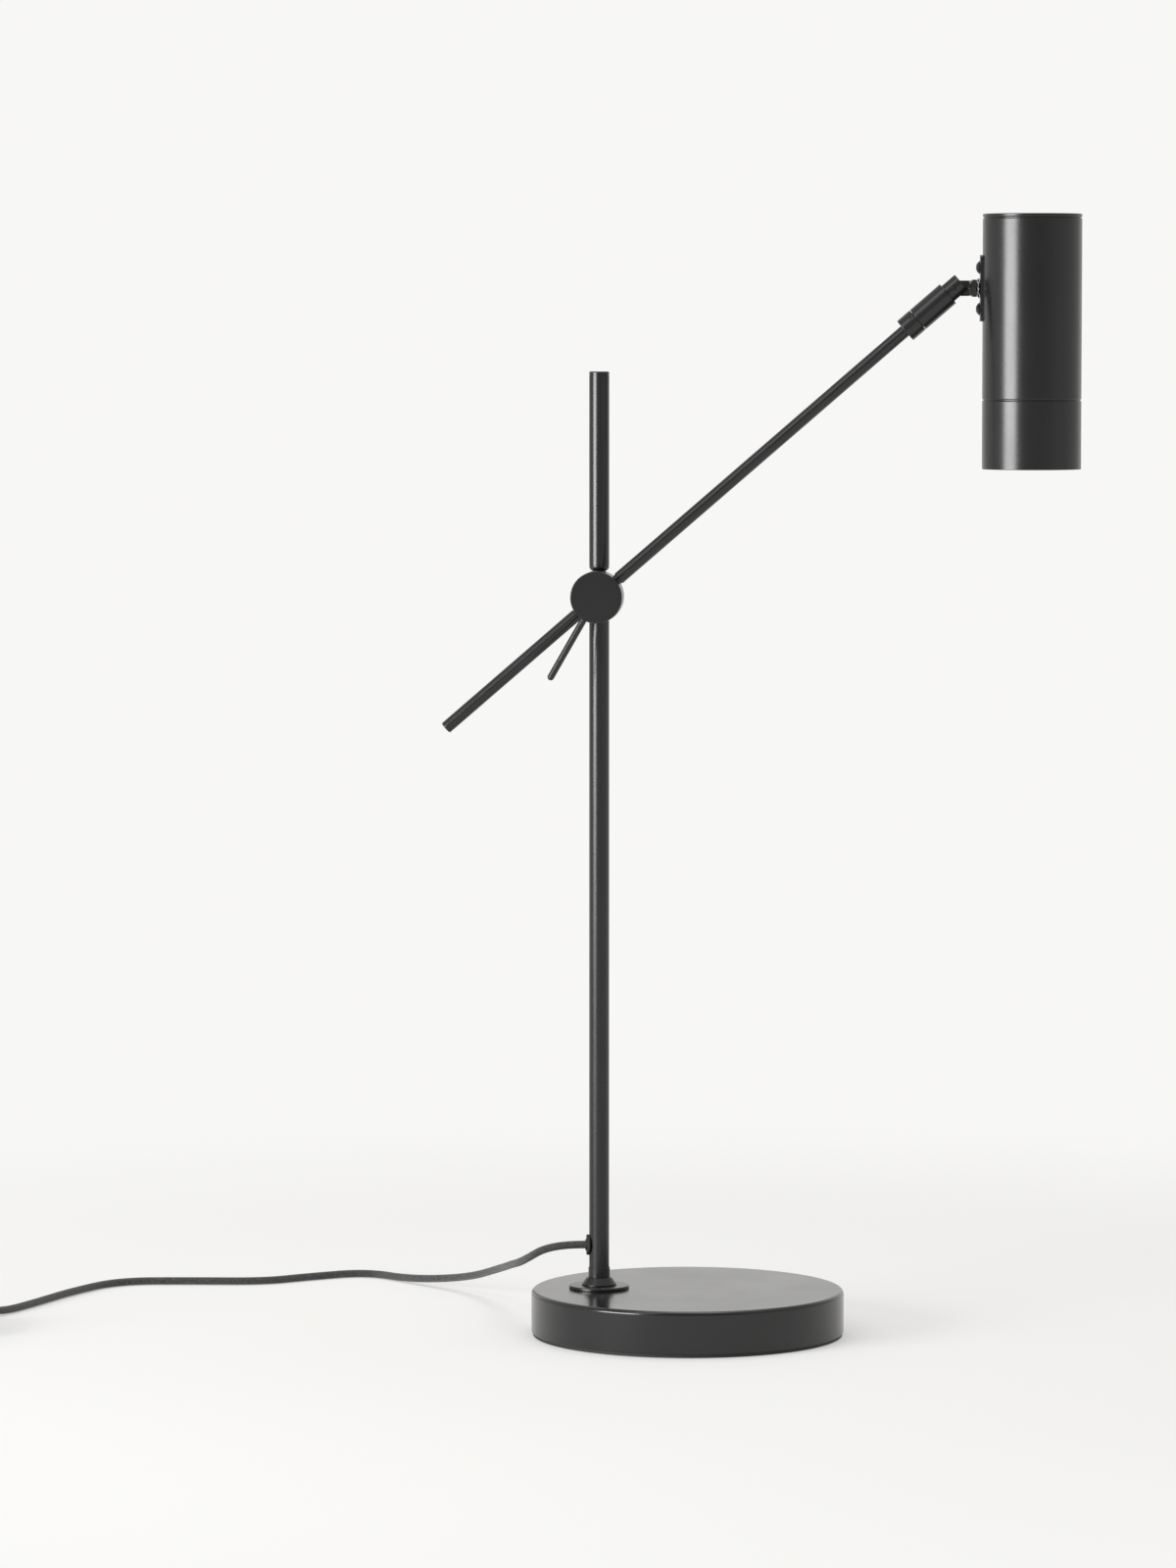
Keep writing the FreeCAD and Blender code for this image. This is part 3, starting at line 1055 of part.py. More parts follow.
def switch_shells():
    """Two shell halves that meet at the cord's height, and the screws that hold them from below."""
    centre = V(SWITCH_X, SWITCH_NEAR_Y - SWITCH_LENGTH / 2, 0)
    outer = rounded_block(SWITCH_WIDTH, SWITCH_LENGTH, SWITCH_HEIGHT, SWITCH_END_ROUND)
    flat = [e for e in outer.Edges if abs(e.BoundBox.ZMax - e.BoundBox.ZMin) < 1e-6]
    outer = outer.makeFillet(SWITCH_EDGE_ROUND, flat)
    inner = rounded_block(
        SWITCH_WIDTH - 2 * SWITCH_WALL,
        SWITCH_LENGTH - 2 * SWITCH_WALL,
        SWITCH_HEIGHT - 2 * SWITCH_WALL,
        SWITCH_END_ROUND - SWITCH_WALL,
    ).translated(V(0, 0, SWITCH_WALL))
    shell = outer.cut(inner)
    for place in screw_places():
        shell = shell.fuse(cylinder(SWITCH_POST_DIAMETER, 0, SWITCH_HEIGHT - SWITCH_WALL, place))
    shell = shell.removeSplitter()
    for place in screw_places():
        shell = shell.cut(switch_screw(place))
    window_length, window_width = ROCKER_LENGTH + 2 * ROCKER_GAP, ROCKER_WIDTH + 2 * ROCKER_GAP
    window = Part.makeBox(
        window_width,
        window_length,
        SWITCH_HEIGHT,
        V(-window_width / 2, -window_length / 2, SWITCH_HEIGHT - SWITCH_WALL),
    )
    corner = V(-SWITCH_WIDTH / 2, -SWITCH_LENGTH / 2, 0)
    half = Part.makeBox(SWITCH_WIDTH, SWITCH_LENGTH, SWITCH_HEIGHT, corner)
    lower = shell.common(half.translated(V(0, 0, SWITCH_AXIS_Z - SWITCH_HEIGHT)))
    upper = shell.common(half.translated(V(0, 0, SWITCH_AXIS_Z))).cut(window)
    cheek_top = SWITCH_HEIGHT - SWITCH_WALL
    axle_height = SWITCH_HEIGHT - ROCKER_AXLE_DROP - ROCKER_DEPTH / 2
    for side in (-1, 1):
        inner_face = side * (ROCKER_WIDTH / 2 + ROCKER_GAP)
        low_x = min(inner_face, inner_face + side * 2)
        cheek = Part.makeBox(2, 5, cheek_top - SWITCH_AXIS_Z, V(low_x, -2.5, SWITCH_AXIS_Z))
        upper = upper.fuse(cheek)
    axle_hole = ROCKER_AXLE_DIAMETER + 2 * RUNNING
    upper = upper.cut(bar(axle_hole, V(-ROCKER_WIDTH, 0, axle_height), V(ROCKER_WIDTH, 0, axle_height)))
    return lower.translated(centre), upper.removeSplitter().translated(centre)


def screw_places():
    return [V(0, side * SWITCH_SCREW_PITCH / 2, 0) for side in (-1, 1)]


def switch_screw(place):
    length = SWITCH_HEIGHT - 2 * SWITCH_WALL
    screw = cylinder(SWITCH_SCREW_DIAMETER, 1.0, length, place)
    return screw.fuse(cylinder(SWITCH_SCREW_HEAD, 0.4, SWITCH_WALL, place)).removeSplitter()


def rocker():
    """A rocker with two sloping faces on an axle across the switch, shown pressed at its -Y end."""
    top = SWITCH_HEIGHT + ROCKER_PROUD
    axle_height = SWITCH_HEIGHT - ROCKER_AXLE_DROP - ROCKER_DEPTH / 2
    half = ROCKER_LENGTH / 2
    low = top - half * math.tan(math.radians(ROCKER_TILT))
    bottom = axle_height - 2.0
    outline = [
        V(0, ROCKER_END_TAPER - half, low),
        V(0, 0, top),
        V(0, half - ROCKER_END_TAPER, low),
        V(0, half, low - 2.4),
        V(0, 3, bottom),
        V(0, -3, bottom),
        V(0, -half, low - 2.4),
    ]
    body = Part.Face(Part.makePolygon(outline + outline[:1])).extrude(V(ROCKER_WIDTH, 0, 0))
    body = body.translated(V(-ROCKER_WIDTH / 2, 0, 0))
    reach = ROCKER_WIDTH / 2 + ROCKER_GAP + 1.6
    body = body.fuse(bar(ROCKER_AXLE_DIAMETER, V(-reach, 0, axle_height), V(reach, 0, axle_height)))
    body = body.removeSplitter()
    body.rotate(V(0, 0, axle_height), V(1, 0, 0), ROCKER_TILT)
    return body.translated(V(SWITCH_X, SWITCH_NEAR_Y - SWITCH_LENGTH / 2, 0))


def plug_relief():
    """The ribbed, tapered sleeve of the plug along +Z from the cord's end, with its root in the body."""
    pitch = PLUG_RELIEF_LENGTH / PLUG_RELIEF_RIBS

    def radius(z):
        share = z / PLUG_RELIEF_LENGTH
        return (PLUG_RELIEF_TIP + (PLUG_RELIEF_ROOT - PLUG_RELIEF_TIP) * share) / 2

    outline = [(0, 0)]
    for k in range(PLUG_RELIEF_RIBS):
        start = k * pitch
        rib_end, groove_end = start + pitch - PLUG_RELIEF_GROOVE, start + pitch
        outline += [
            (radius(start), start),
            (radius(rib_end), rib_end),
            (radius(rib_end) - PLUG_RELIEF_GROOVE_DEPTH, rib_end),
            (radius(groove_end) - PLUG_RELIEF_GROOVE_DEPTH, groove_end),
        ]
    root_r, root_end = PLUG_RELIEF_ROOT / 2, PLUG_RELIEF_LENGTH + PLUG_RELIEF_SEAT
    outline += [(root_r, PLUG_RELIEF_LENGTH), (root_r, root_end), (0, root_end)]
    return turned(outline)


def plug():
    """A flat two-pin plug moulded in one with its relief: a body that narrows to the cord, and two
    round pins."""
    half, neck_half = PLUG_WIDTH / 2, PLUG_NECK_WIDTH / 2
    shoulder = PLUG_LENGTH - PLUG_SHOULDER
    outline = [
        V(-neck_half, 0, 0),
        V(-half, shoulder, 0),
        V(-half, PLUG_LENGTH, 0),
        V(half, PLUG_LENGTH, 0),
        V(half, shoulder, 0),
        V(neck_half, 0, 0),
    ]
    body = Part.Face(Part.makePolygon(outline + outline[:1])).extrude(V(0, 0, PLUG_THICKNESS))
    body = body.makeFillet(PLUG_EDGE_ROUND, body.Edges)
    middle = PLUG_THICKNESS / 2
    relief = facing(plug_relief(), V(0, -PLUG_RELIEF_LENGTH, middle), V(0, 1, 0))
    body = body.fuse(relief).removeSplitter()
    pins = [
        bar(
            PLUG_PIN_DIAMETER,
            V(side * PLUG_PIN_PITCH / 2, PLUG_LENGTH - PLUG_PIN_SEAT, middle),
            V(side * PLUG_PIN_PITCH / 2, PLUG_LENGTH + PLUG_PIN_LENGTH, middle),
        )
        for side in (-1, 1)
    ]
    place = V(PLUG_X, PLUG_NEAR_Y + PLUG_RELIEF_LENGTH, 0)
    pins = Part.makeCompound(pins)
    return body.cut(pins).translated(place), pins.translated(place)


def cord():
    lower, upper = switch_shells()
    centre = V(SWITCH_X, SWITCH_NEAR_Y - SWITCH_LENGTH / 2, 0)
    screws = Part.makeCompound([switch_screw(centre + place) for place in screw_places()])
    plug_body, plug_pins = plug()
    return {
        "cord_lead": routed("cord_lead", LEAD_ROUTE, CORD_DIAMETER),
        "switch_lower_shell": lower,
        "switch_upper_shell": upper,
        "switch_screws": screws,
        "switch_rocker": rocker(),
        "cord_link": routed("cord_link", LINK_ROUTE, CORD_DIAMETER),
        "cord_coil": coil(),
        "cord_end": routed("cord_end", END_ROUTE, CORD_DIAMETER),
        "plug_body": plug_body,
        "plug_pins": plug_pins,
    }


def main():
    nodes = {"cable_grommet": grommet()}
    for group in (foot, post, hub, lock, arm, swivel, head, wires, cord):
        nodes.update(group())
    os.makedirs("parts", exist_ok=True)
    for name, shape in nodes.items():
        shape.exportStep(f"parts/{name}.step")
    print(f"{len(nodes)} nodes")


main()
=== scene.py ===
import json
import math

import bpy
from mathutils import Matrix, Vector


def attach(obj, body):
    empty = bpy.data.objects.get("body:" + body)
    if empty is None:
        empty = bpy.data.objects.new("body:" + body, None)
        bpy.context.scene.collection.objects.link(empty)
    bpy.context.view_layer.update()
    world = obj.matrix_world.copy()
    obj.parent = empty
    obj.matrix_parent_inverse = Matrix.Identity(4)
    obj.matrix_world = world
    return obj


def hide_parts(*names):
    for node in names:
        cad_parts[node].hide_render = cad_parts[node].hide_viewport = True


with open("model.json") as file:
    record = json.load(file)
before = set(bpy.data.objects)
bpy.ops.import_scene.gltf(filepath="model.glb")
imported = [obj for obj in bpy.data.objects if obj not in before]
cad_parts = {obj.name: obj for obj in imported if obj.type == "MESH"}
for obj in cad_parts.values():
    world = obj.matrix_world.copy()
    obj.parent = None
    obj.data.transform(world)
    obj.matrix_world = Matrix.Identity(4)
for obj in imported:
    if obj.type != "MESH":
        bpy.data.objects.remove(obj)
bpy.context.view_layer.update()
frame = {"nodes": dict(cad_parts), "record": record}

# A matte black desk lamp on a white table: a round foot, a post, an arm on a clamped hub, a spot
# head on a knuckle, and a braided cord. Sizes are in millimetres and become metres by MM.
# R is a radius, X, Y and Z are places, and an angle is in degrees.
MM = 0.001

# ---- Sizes ----
FOOT_R = 96
FOOT_TOP = 28
COVER_WALL = 1.5
COVER_TOP_ROUND = 2.5
COVER_HEM_ROUND = 0.6
PAD_TOP = 2
PAD_R = 95.1
PAD_INNER_TOP = 5.3
PAD_GAP = 0.3
FLANGE_R = 18.5
FLANGE_TOP = 30
STUD_R = 4
CONE_LOWER_R = 10.7
CONE_UPPER_R = 8
CONE_LAND_TOP = 31
CONE_TOP = 34.8
CONE_SLOPE = 55
SOCKET_R = 6.6
SOCKET_TOP = 41
FOOT_SCREW_HEIGHT = 36.5
FOOT_SCREW_R = 1.5
FOOT_SCREW_KEY = 0.75

POST_X = -54.5
POST_R = 6.15
POST_BORE = 4.95
POST_TOP = 591
CAP_LIP = 2.4
CAP_ROUND = 0.8
SPIGOT_LENGTH = 9
SEAM_WIDTH = 0.3
SEAM_DEPTH = 0.25
CORD_EXIT_HEIGHT = 54.7
CORD_EXIT_R = 4.2
GROMMET_FACE_X = -62.95
GROMMET_LENGTH = 12.6
GROMMET_WIDTH = 11.2
GROMMET_RING_R = 3.7

HUB_HEIGHT = 454.2
HUB_R = 15.8
HUB_WALL = 3
POST_HUB_R = 14.7
KNOB_FRONT_Y = -29.3
KNOB_REAR_Y = -21.3
KNOB_CHAMFER = 0.6
ARM_HUB_FRONT_Y = -21
ARM_HUB_REAR_Y = -8.6
FRICTION_FRONT_Y = -8.3
FRICTION_RADII = (12.4, 14.4)
POST_HUB_FRONT_Y = -7.5
POST_HUB_REAR_Y = 7.5
BOLT_R = 4
BOLT_THREAD_R = 3
REAR_CAP_R = 11.7
REAR_CAP_THICK = 2
REAR_DOME_R = 6.5
REAR_DOME_HEIGHT = 3.2
POST_NECK_R = 4
POST_NECK_LENGTH = 0.6
POST_PLUG_ROUND = 3
LEVER_Y = -25.3
LEVER_ANGLE = 240.2
LEVER_R = 2.1
LEVER_STEM_R = 1.5
LEVER_REACH = 58

ARM_Y = -14.8
ARM_ANGLE = 40.9
ARM_R = 3.85
ARM_BORE = 2.85
ARM_START = 16.9
ARM_NECK_R = 3.3
NIPPLE_BORE = 1.7
COLLAR_START = 246.7
COLLAR_END = 256.7
GRUB_R = 1.5
GRUB_ANGLE = 24.5
GRUB_TURN = 35
GRUB_SLOT = (4.0, 0.55, 1.6)
SWIVEL_R = 7.6
SWIVEL_BORE = 2
SPIGOT_R = 5.5
SPIGOT_END = 268.7
SLEEVE_START = 257
FORK_ROOT = 280.85
FORK_END = 291.4
FORK_R = 6.5
FORK_SLOT = 5.3
PIVOT_REACH = 285.8
PIN_R = 1.5
TAIL_REACH = 123

TONGUE_WIDTH = 9.3
TONGUE_THICK = 5
NECK_SHOULDER = 8.9
NUT_START = 10.6
NUT_THICK = 3.2
NUT_CORNERS = 12
THREAD_R = 3.8
NECK_BORE = 2.3
WASHER_R = 4.75
WASHER_THICK = 1.6
WASHER_SHEET = 0.45
WASHER_TEETH = 12
WASHER_TOOTH = (2.0, 1.55)
WASHER_TWIST = 34
SADDLE_FACE = 15.4
SADDLE_THICK = 1.7
SADDLE_WIDTH = 12
SADDLE_HEIGHT = 40
SADDLE_CORNER = 3
SCREW_PITCH = 25
SCREW_HEAD = 4
SCREW_DOME = 2.4
SCREW_R = 2
SCREW_LENGTH = 5.2
SCREW_KEY = 1.35

HEAD_X = 208.62
HEAD_R = 30
HEAD_BORE = 28.8
HEAD_BOTTOM = 532.12
HEAD_TOP = 686.12
TUBE_TOP = 683.52
HEAD_ROUND = 0.6
HEAD_SEAM_WIDTH = 0.45
HEAD_SEAM_DEPTH = 0.8
HEAD_LIP = 0.7
RING_TOP = 574.12
RING_SPIGOT_BORE = 27.6
RING_SPIGOT_LENGTH = 8
RING_LIP = 0.8
RETAINER_BOTTOM = 544.12
RETAINER_TOP = 545.62
RETAINER_OPENING = 23.5
LAMP_R = 25
LENS_R = 22.5
LENS_BOTTOM = 546.42
LENS_TOP = 548.02
LENS_BULGE = 0.35
LENS_RINGS = 9
# Radii of the lamp's body and how far above the retainer they are.
LAMP_PROFILE = ((LAMP_R, 4), (22.7, 19.8), (13.5, 36), (13.5, 46))
LAMP_HEIGHT = 53
LAMP_PIN_R = 2.5
LAMP_PIN_PITCH = 10
# How far from the head's axis the holes in its side begin and end.
HEAD_HOLE_REACH = (20, 40)

CORD_DIAMETER = 4.8
CORD_R = CORD_DIAMETER / 2
SWITCH_X = -448
SWITCH_NEAR_Y = 4
SWITCH_FAR_Y = -58
SWITCH_AXIS_Z = 7.5
SWITCH_WIDTH = 23
SWITCH_LENGTH = 62
SWITCH_HEIGHT = 15
SWITCH_WALL = 2
SWITCH_SEAM = 0.24
SWITCH_END_ROUND = 8
SWITCH_EDGE_ROUND = 2
SWITCH_SCREW_R = 2.1
SWITCH_SCREW_PITCH = 38
ROCKER_LENGTH = 18
ROCKER_WIDTH = 10
ROCKER_DEPTH = 5.2
ROCKER_MIDDLE = 13
ROCKER_TOP = 16.2
ROCKER_DRAFT = 0.7
ROCKER_GAP = 0.4
ROCKER_AXLE_HEIGHT = 10.3
ROCKER_AXLE_R = 1.2
ROCKER_AXLE_REACH = 7
ROCKER_TILT = 7
DASH_SIZE = (3.2, 0.45, 0.5)
DASH_START = 4.6
DASH_PITCH = 1.1

COIL_TURNS = 5.5
COIL_INNER_R = 20
COIL_PITCH = 5.4
COIL_LAYER_RISE = 5.3
COIL_OUTER_R = COIL_INNER_R + COIL_PITCH * COIL_TURNS / 2
COIL_X = SWITCH_X - COIL_OUTER_R
COIL_Y = SWITCH_FAR_Y - 50.0

PLUG_X = -508
PLUG_NEAR_Y = 16
PLUG_AXIS_Z = 7
PLUG_WIDTH = 35
PLUG_NECK_WIDTH = 12
PLUG_THICK = 14
PLUG_START = 24
PLUG_LENGTH = 36
PLUG_SHOULDER = 22
PLUG_CORNER_ROUND = 3
PLUG_EDGE_ROUND = 2
RELIEF_TIP = 3.4
RELIEF_ROOT = 5.4
RELIEF_RIBS = 5
RELIEF_GROOVE = 1.6
RELIEF_GROOVE_DEPTH = 0.8
PLUG_GRIPS = 4
PLUG_GRIP_PITCH = 3.2
PLUG_GRIP_R = 0.55
PLUG_PIN_R = 2
PLUG_PIN_LENGTH = 19
PLUG_PIN_SLEEVE = 10
PLUG_PIN_ROUND = 1.2
PLUG_PIN_PITCH = 18
# The room that a hole leaves round what goes through it.
PLAY = 0.05

# ---- Camera ----
CAMERA_PLACE = (214.9, -3951.0, 615.8)
CAMERA_AZIMUTH = 4.0
CAMERA_PITCH = 4.0
CAMERA_LENS = 148.86

# ---- Room, in metres and watts ----
PAPER = (0.935, 0.93, 0.915)
DAYLIGHT = (0.45, 0.44775, 0.44325)
# How much of the paper's light is mirrored from the camera's side, from the sides and from behind.
MIRRORED = ((0.0, 0.30), (0.33, 0.68), (0.80, 0.72), (0.95, 1.0))
TABLE_SIZE = 12.0
TABLE_HEIGHT = -0.0002
TABLE_GLOW = 0.35
TABLE_LIT_R = 0.45
TABLE_FADE_R = 1.1
# Name, place, aim, size and power.
SOFTBOXES = (
    ("tall_softbox", (-2.36, -2.06, 0.69), (0.05, 0, 0.69), (1.7, 1.14), 96),
    ("high_softbox", (-1.28, -1.64, 2.2), (0, 0, 0.4), (1.1, 1.1), 8),
    ("ceiling_softbox", (0.2, 0.5, 3.1), (0, 0, 0), (2, 2), 31),
)


def add_object(name, data):
    added = bpy.data.objects.new(name, data)
    bpy.context.scene.collection.objects.link(added)
    return added


def add_camera():
    data = bpy.data.cameras.new("product_camera")
    data.sensor_width = 36.0
    data.lens = CAMERA_LENS
    data.clip_end = 50.0
    camera = add_object("product_camera", data)
    camera.location = [c * MM for c in CAMERA_PLACE]
    camera.rotation_euler = (math.radians(90 - CAMERA_PITCH), 0, math.radians(CAMERA_AZIMUTH))
    bpy.context.scene.camera = camera


add_camera()


# ---- Cord routes ----
LEAD_ROUTE = [
    (GROMMET_FACE_X, 0, CORD_EXIT_HEIGHT),
    (-84.1, 0, CORD_EXIT_HEIGHT),
    (-103.3, 10.5, 42.1),
    (-111.8, 43.4, 35.8),
    (-122.5, 104.2, 24.9),
    (-149.1, 161.7, 9.7),
    (-190.1, 200.6, CORD_R),
    (-222.3, 231.3, CORD_R),
    (-261, 205.4, CORD_R),
    (-284.2, 185.7, CORD_R),
    (-330.6, 184.3, CORD_R),
    (-378.9, 180.2, CORD_R),
    (-402.4, 131.4, CORD_R),
    (-417.2, 85, CORD_R),
    (-433.2, 42.9, CORD_R),
    (SWITCH_X, 24, SWITCH_AXIS_Z),
    (SWITCH_X, SWITCH_NEAR_Y, SWITCH_AXIS_Z),
]
LINK_ROUTE = [
    (SWITCH_X, SWITCH_FAR_Y, SWITCH_AXIS_Z),
    (SWITCH_X, SWITCH_FAR_Y - 12, SWITCH_AXIS_Z),
    (SWITCH_X, SWITCH_FAR_Y - 30, CORD_R),
    (SWITCH_X, COIL_Y + CORD_DIAMETER, CORD_R),
]
END_ROUTE = [
    (COIL_X - COIL_OUTER_R, COIL_Y + CORD_DIAMETER, CORD_R + COIL_LAYER_RISE),
    (COIL_X - COIL_OUTER_R, COIL_Y + 24, CORD_R + COIL_LAYER_RISE),
    (-518, COIL_Y + 54, CORD_R),
    (-511, COIL_Y + 78, CORD_R),
    (PLUG_X, PLUG_NEAR_Y - 16, PLUG_AXIS_Z),
    (PLUG_X, PLUG_NEAR_Y, PLUG_AXIS_Z),
]
COIL_POINTS = 14
LEAD_LENGTH = 0.661
PLUG_LEAD_LENGTH = 1.127


def coil_route():
    """The put-away turns: in on the table, up a layer in the innermost half turn, and out again."""
    points = []
    count = round(COIL_TURNS * COIL_POINTS)
    outset = 2 / (1 + math.cos(math.pi / COIL_POINTS) ** 2)
    for k in range(count + 1):
        turn = COIL_TURNS * (k / count - 0.5)
        radius = (COIL_INNER_R + COIL_PITCH * abs(turn)) * outset
        angle = -2 * math.pi * (turn + COIL_TURNS / 2)
        climb = min(1.0, max(0.0, 2 * turn + 0.5))
        height = CORD_R + COIL_LAYER_RISE * (1 - math.cos(math.pi * climb)) / 2
        points.append((COIL_X + radius * math.cos(angle), COIL_Y + radius * math.sin(angle), height))
    return points


def add_cord(name, route):
    """A round cord on a smooth line that takes the route's points as its control points."""
    data = bpy.data.curves.new(name, "CURVE")
    data.dimensions = "3D"
    spline = data.splines.new("NURBS")
    spline.points.add(len(route) - 1)
    for point, place in zip(spline.points, route):
        point.co = (place[0] * MM, place[1] * MM, place[2] * MM, 1)
        point.radius = CORD_R * MM
    spline.order_u = 3
    spline.use_endpoint_u = True
    data.bevel_depth = 1.0
    data.bevel_resolution = 6
    data.resolution_u = 10
    data.use_fill_caps = True
    return add_object(name, data)


lead = add_cord("braided_lead", LEAD_ROUTE)
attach(lead, "stand")
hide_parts("cord_lead")
plug_lead = add_cord("braided_plug_lead", LINK_ROUTE[:-1] + coil_route() + END_ROUTE[1:])
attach(plug_lead, "stand")
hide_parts("cord_link", "cord_coil", "cord_end")


# ---- Materials ----
def mix_colours(nodes, links, factor, first, second):
    """A mix of two colours, each of them three numbers or a node's output."""
    mix = nodes.new("ShaderNodeMix")
    mix.data_type = "RGBA"
    links.new(factor, mix.inputs["Factor"])
    for socket, value in (("A", first), ("B", second)):
        if isinstance(value, tuple):
            mix.inputs[socket].default_value = (*value, 1)
        else:
            links.new(value, mix.inputs[socket])
    return mix.outputs["Result"]


class Finish:
    """A material under construction: its nodes, its shader, and the piece's own coordinates."""

    def __init__(self, name):
        self.material = bpy.data.materials.new(name)
        self.material.use_nodes = True
        self.nodes = self.material.node_tree.nodes
        self.links = self.material.node_tree.links
        self.shader = self.nodes["Principled BSDF"]
        self.place = self.add("TexCoord").outputs["Object"]

    def add(self, kind):
        return self.nodes.new("ShaderNode" + kind)

    def set(self, **values):
        for socket, value in values.items():
            self.shader.inputs[socket.replace("_", " ")].default_value = value

    def noise(self, size, detail, stretch=(1, 1, 1)):
        """Noise whose blots are about size millimetres across."""
        mapping = self.add("Mapping")
        mapping.inputs["Scale"].default_value = stretch
        texture = self.add("TexNoise")
        texture.inputs["Scale"].default_value = 1 / (size * MM)
        texture.inputs["Detail"].default_value = detail
        self.links.new(self.place, mapping.inputs["Vector"])
        self.links.new(mapping.outputs["Vector"], texture.inputs["Vector"])
        return texture.outputs["Fac"]

    def spread(self, value, low, high, start=0.3, end=0.7):
        """Maps a value from start..end to low..high."""
        node = self.add("MapRange")
        for socket, number in zip(("From Min", "From Max", "To Min", "To Max"), (start, end, low, high)):
            node.inputs[socket].default_value = number
        self.links.new(value, node.inputs["Value"])
        return node.outputs["Result"]

    def tint(self, value, dark, light):
        """Gives the surface a colour between dark and light."""
        self.to("Base Color", mix_colours(self.nodes, self.links, value, dark, light))

    def sum(self, operation, first, second):
        node = self.add("Math")
        node.operation = operation
        for socket, value in zip(node.inputs, (first, second)):
            if isinstance(value, (int, float)):
                socket.default_value = value
            else:
                self.links.new(value, socket)
        return node.outputs["Value"]

    def relief(self, height, depth):
        """Raises the surface by up to depth millimetres where height is 1."""
        bump = self.add("Bump")
        bump.inputs["Distance"].default_value = depth * MM
        self.links.new(height, bump.inputs["Height"])
        self.links.new(bump.outputs["Normal"], self.shader.inputs["Normal"])

    def to(self, socket, value):
        self.links.new(value, self.shader.inputs[socket])


def powder_coat(name, smoothest, roughest):
    """Fine matte black powder coat: a shallow orange peel, a fine grain, and faint handling marks."""
    finish = Finish(name)
    peel = finish.noise(1.6, 1.0)
    grain = finish.noise(0.28, 2.0)
    cloud = finish.noise(38.0, 4.0)
    tint = finish.spread(grain, 0, 1)
    finish.tint(tint, (0.0058, 0.0058, 0.0062), (0.0088, 0.0087, 0.0090))
    marks = finish.sum("ADD", finish.sum("MULTIPLY", cloud, 0.75), finish.sum("MULTIPLY", grain, 0.25))
    finish.to("Roughness", finish.spread(marks, smoothest, roughest))
    surface = finish.sum("ADD", finish.sum("MULTIPLY", peel, 0.7), finish.sum("MULTIPLY", grain, 0.3))
    finish.relief(surface, 0.002)
    finish.set(IOR=1.52)
    return finish.material


def mottled(name, shades, tint, gloss, grain, stretch=(1, 1, 1), **settings):
    """A material whose tint, gloss and grain each follow a noise of a size and a detail.

    The tint may add from where to where the noise goes between its two shades. The gloss adds two
    roughnesses, and the grain a depth in millimetres.
    """
    finish = Finish(name)
    size, detail, *reach = tint
    shade = finish.spread(finish.noise(size, detail, stretch), 0, 1, *reach)
    finish.tint(shade, *shades)
    size, detail, smoothest, roughest = gloss
    finish.to("Roughness", finish.spread(finish.noise(size, detail, stretch), smoothest, roughest))
    size, detail, depth = grain
    finish.relief(finish.noise(size, detail, stretch), depth)
    finish.set(**settings)
    return finish.material


def moulded_plastic(name, dark, light, roughness, size=0.35, depth=0.015):
    """Moulded plastic with the mould's spark-eroded grain."""
    gloss = (size, 2.0, roughness - 0.06, roughness + 0.06)
    return mottled(name, (dark, light), (6.0, 3.0), gloss, (size, 2.0, depth), IOR=1.47)


# The sleeve of the cord: threads laid in two opposite helices that pass over and under each other.
BRAID_THREADS = 12
BRAID_PITCH = 11.0


def woven_braid(name, length):
    """Black braid over a cord of a length in metres, drawn on the cord's own UV map, with painted shade in
    the grooves between its threads.
    """
    finish = Finish(name)
    calc = finish.sum
    uv = finish.add("SeparateXYZ")
    finish.links.new(finish.add("TexCoord").outputs["UV"], uv.inputs["Vector"])
    along = calc("MULTIPLY", uv.outputs["X"], length / (BRAID_PITCH * MM) * BRAID_THREADS)
    round_it = calc("MULTIPLY", uv.outputs["Y"], BRAID_THREADS)
    right = calc("ADD", along, round_it)
    left = calc("SUBTRACT", along, round_it)

    def thread(place):
        """0 at a thread's edges and 1 along its middle."""
        return calc("ABSOLUTE", calc("SINE", calc("MULTIPLY", place, math.pi), 0), 0)

    def under(place):
        return calc("FLOORED_MODULO", calc("FLOOR", place, 0), 2)

    parity = calc("ABSOLUTE", calc("SUBTRACT", under(right), under(left)), 0)
    right_up = calc("MULTIPLY", thread(right), parity)
    left_up = calc("MULTIPLY", thread(left), calc("SUBTRACT", 1, parity))
    height = calc("ADD", right_up, left_up)
    cell = finish.add("CombineXYZ")
    finish.links.new(calc("FLOOR", right, 0), cell.inputs["X"])
    finish.links.new(calc("FLOOR", left, 0), cell.inputs["Y"])
    speckle = finish.add("TexWhiteNoise")
    finish.links.new(cell.outputs["Vector"], speckle.inputs["Vector"])
    # Painted shade: the colour darkens towards each thread's edges, into the grooves between the threads.
    # It is lighter along the crowns, where each crossing gets a random tone.
    light = finish.spread(calc("MULTIPLY", height, speckle.outputs["Value"]), 0, 1, 0.1, 0.95)
    finish.tint(light, (0.012, 0.012, 0.013), (0.085, 0.084, 0.086))
    finish.to("Roughness", finish.spread(height, 0.85, 0.6, 0, 1))
    finish.relief(height, 0.22)
    finish.set(IOR=1.45, Sheen_Weight=0.25, Sheen_Roughness=0.5)
    return finish.material


FOOT_COAT = powder_coat("foot_powder_coat", 0.15, 0.21)
BLACK_MOULDING = moulded_plastic("black_moulding", (0.014, 0.014, 0.014), (0.019, 0.019, 0.019), 0.5)

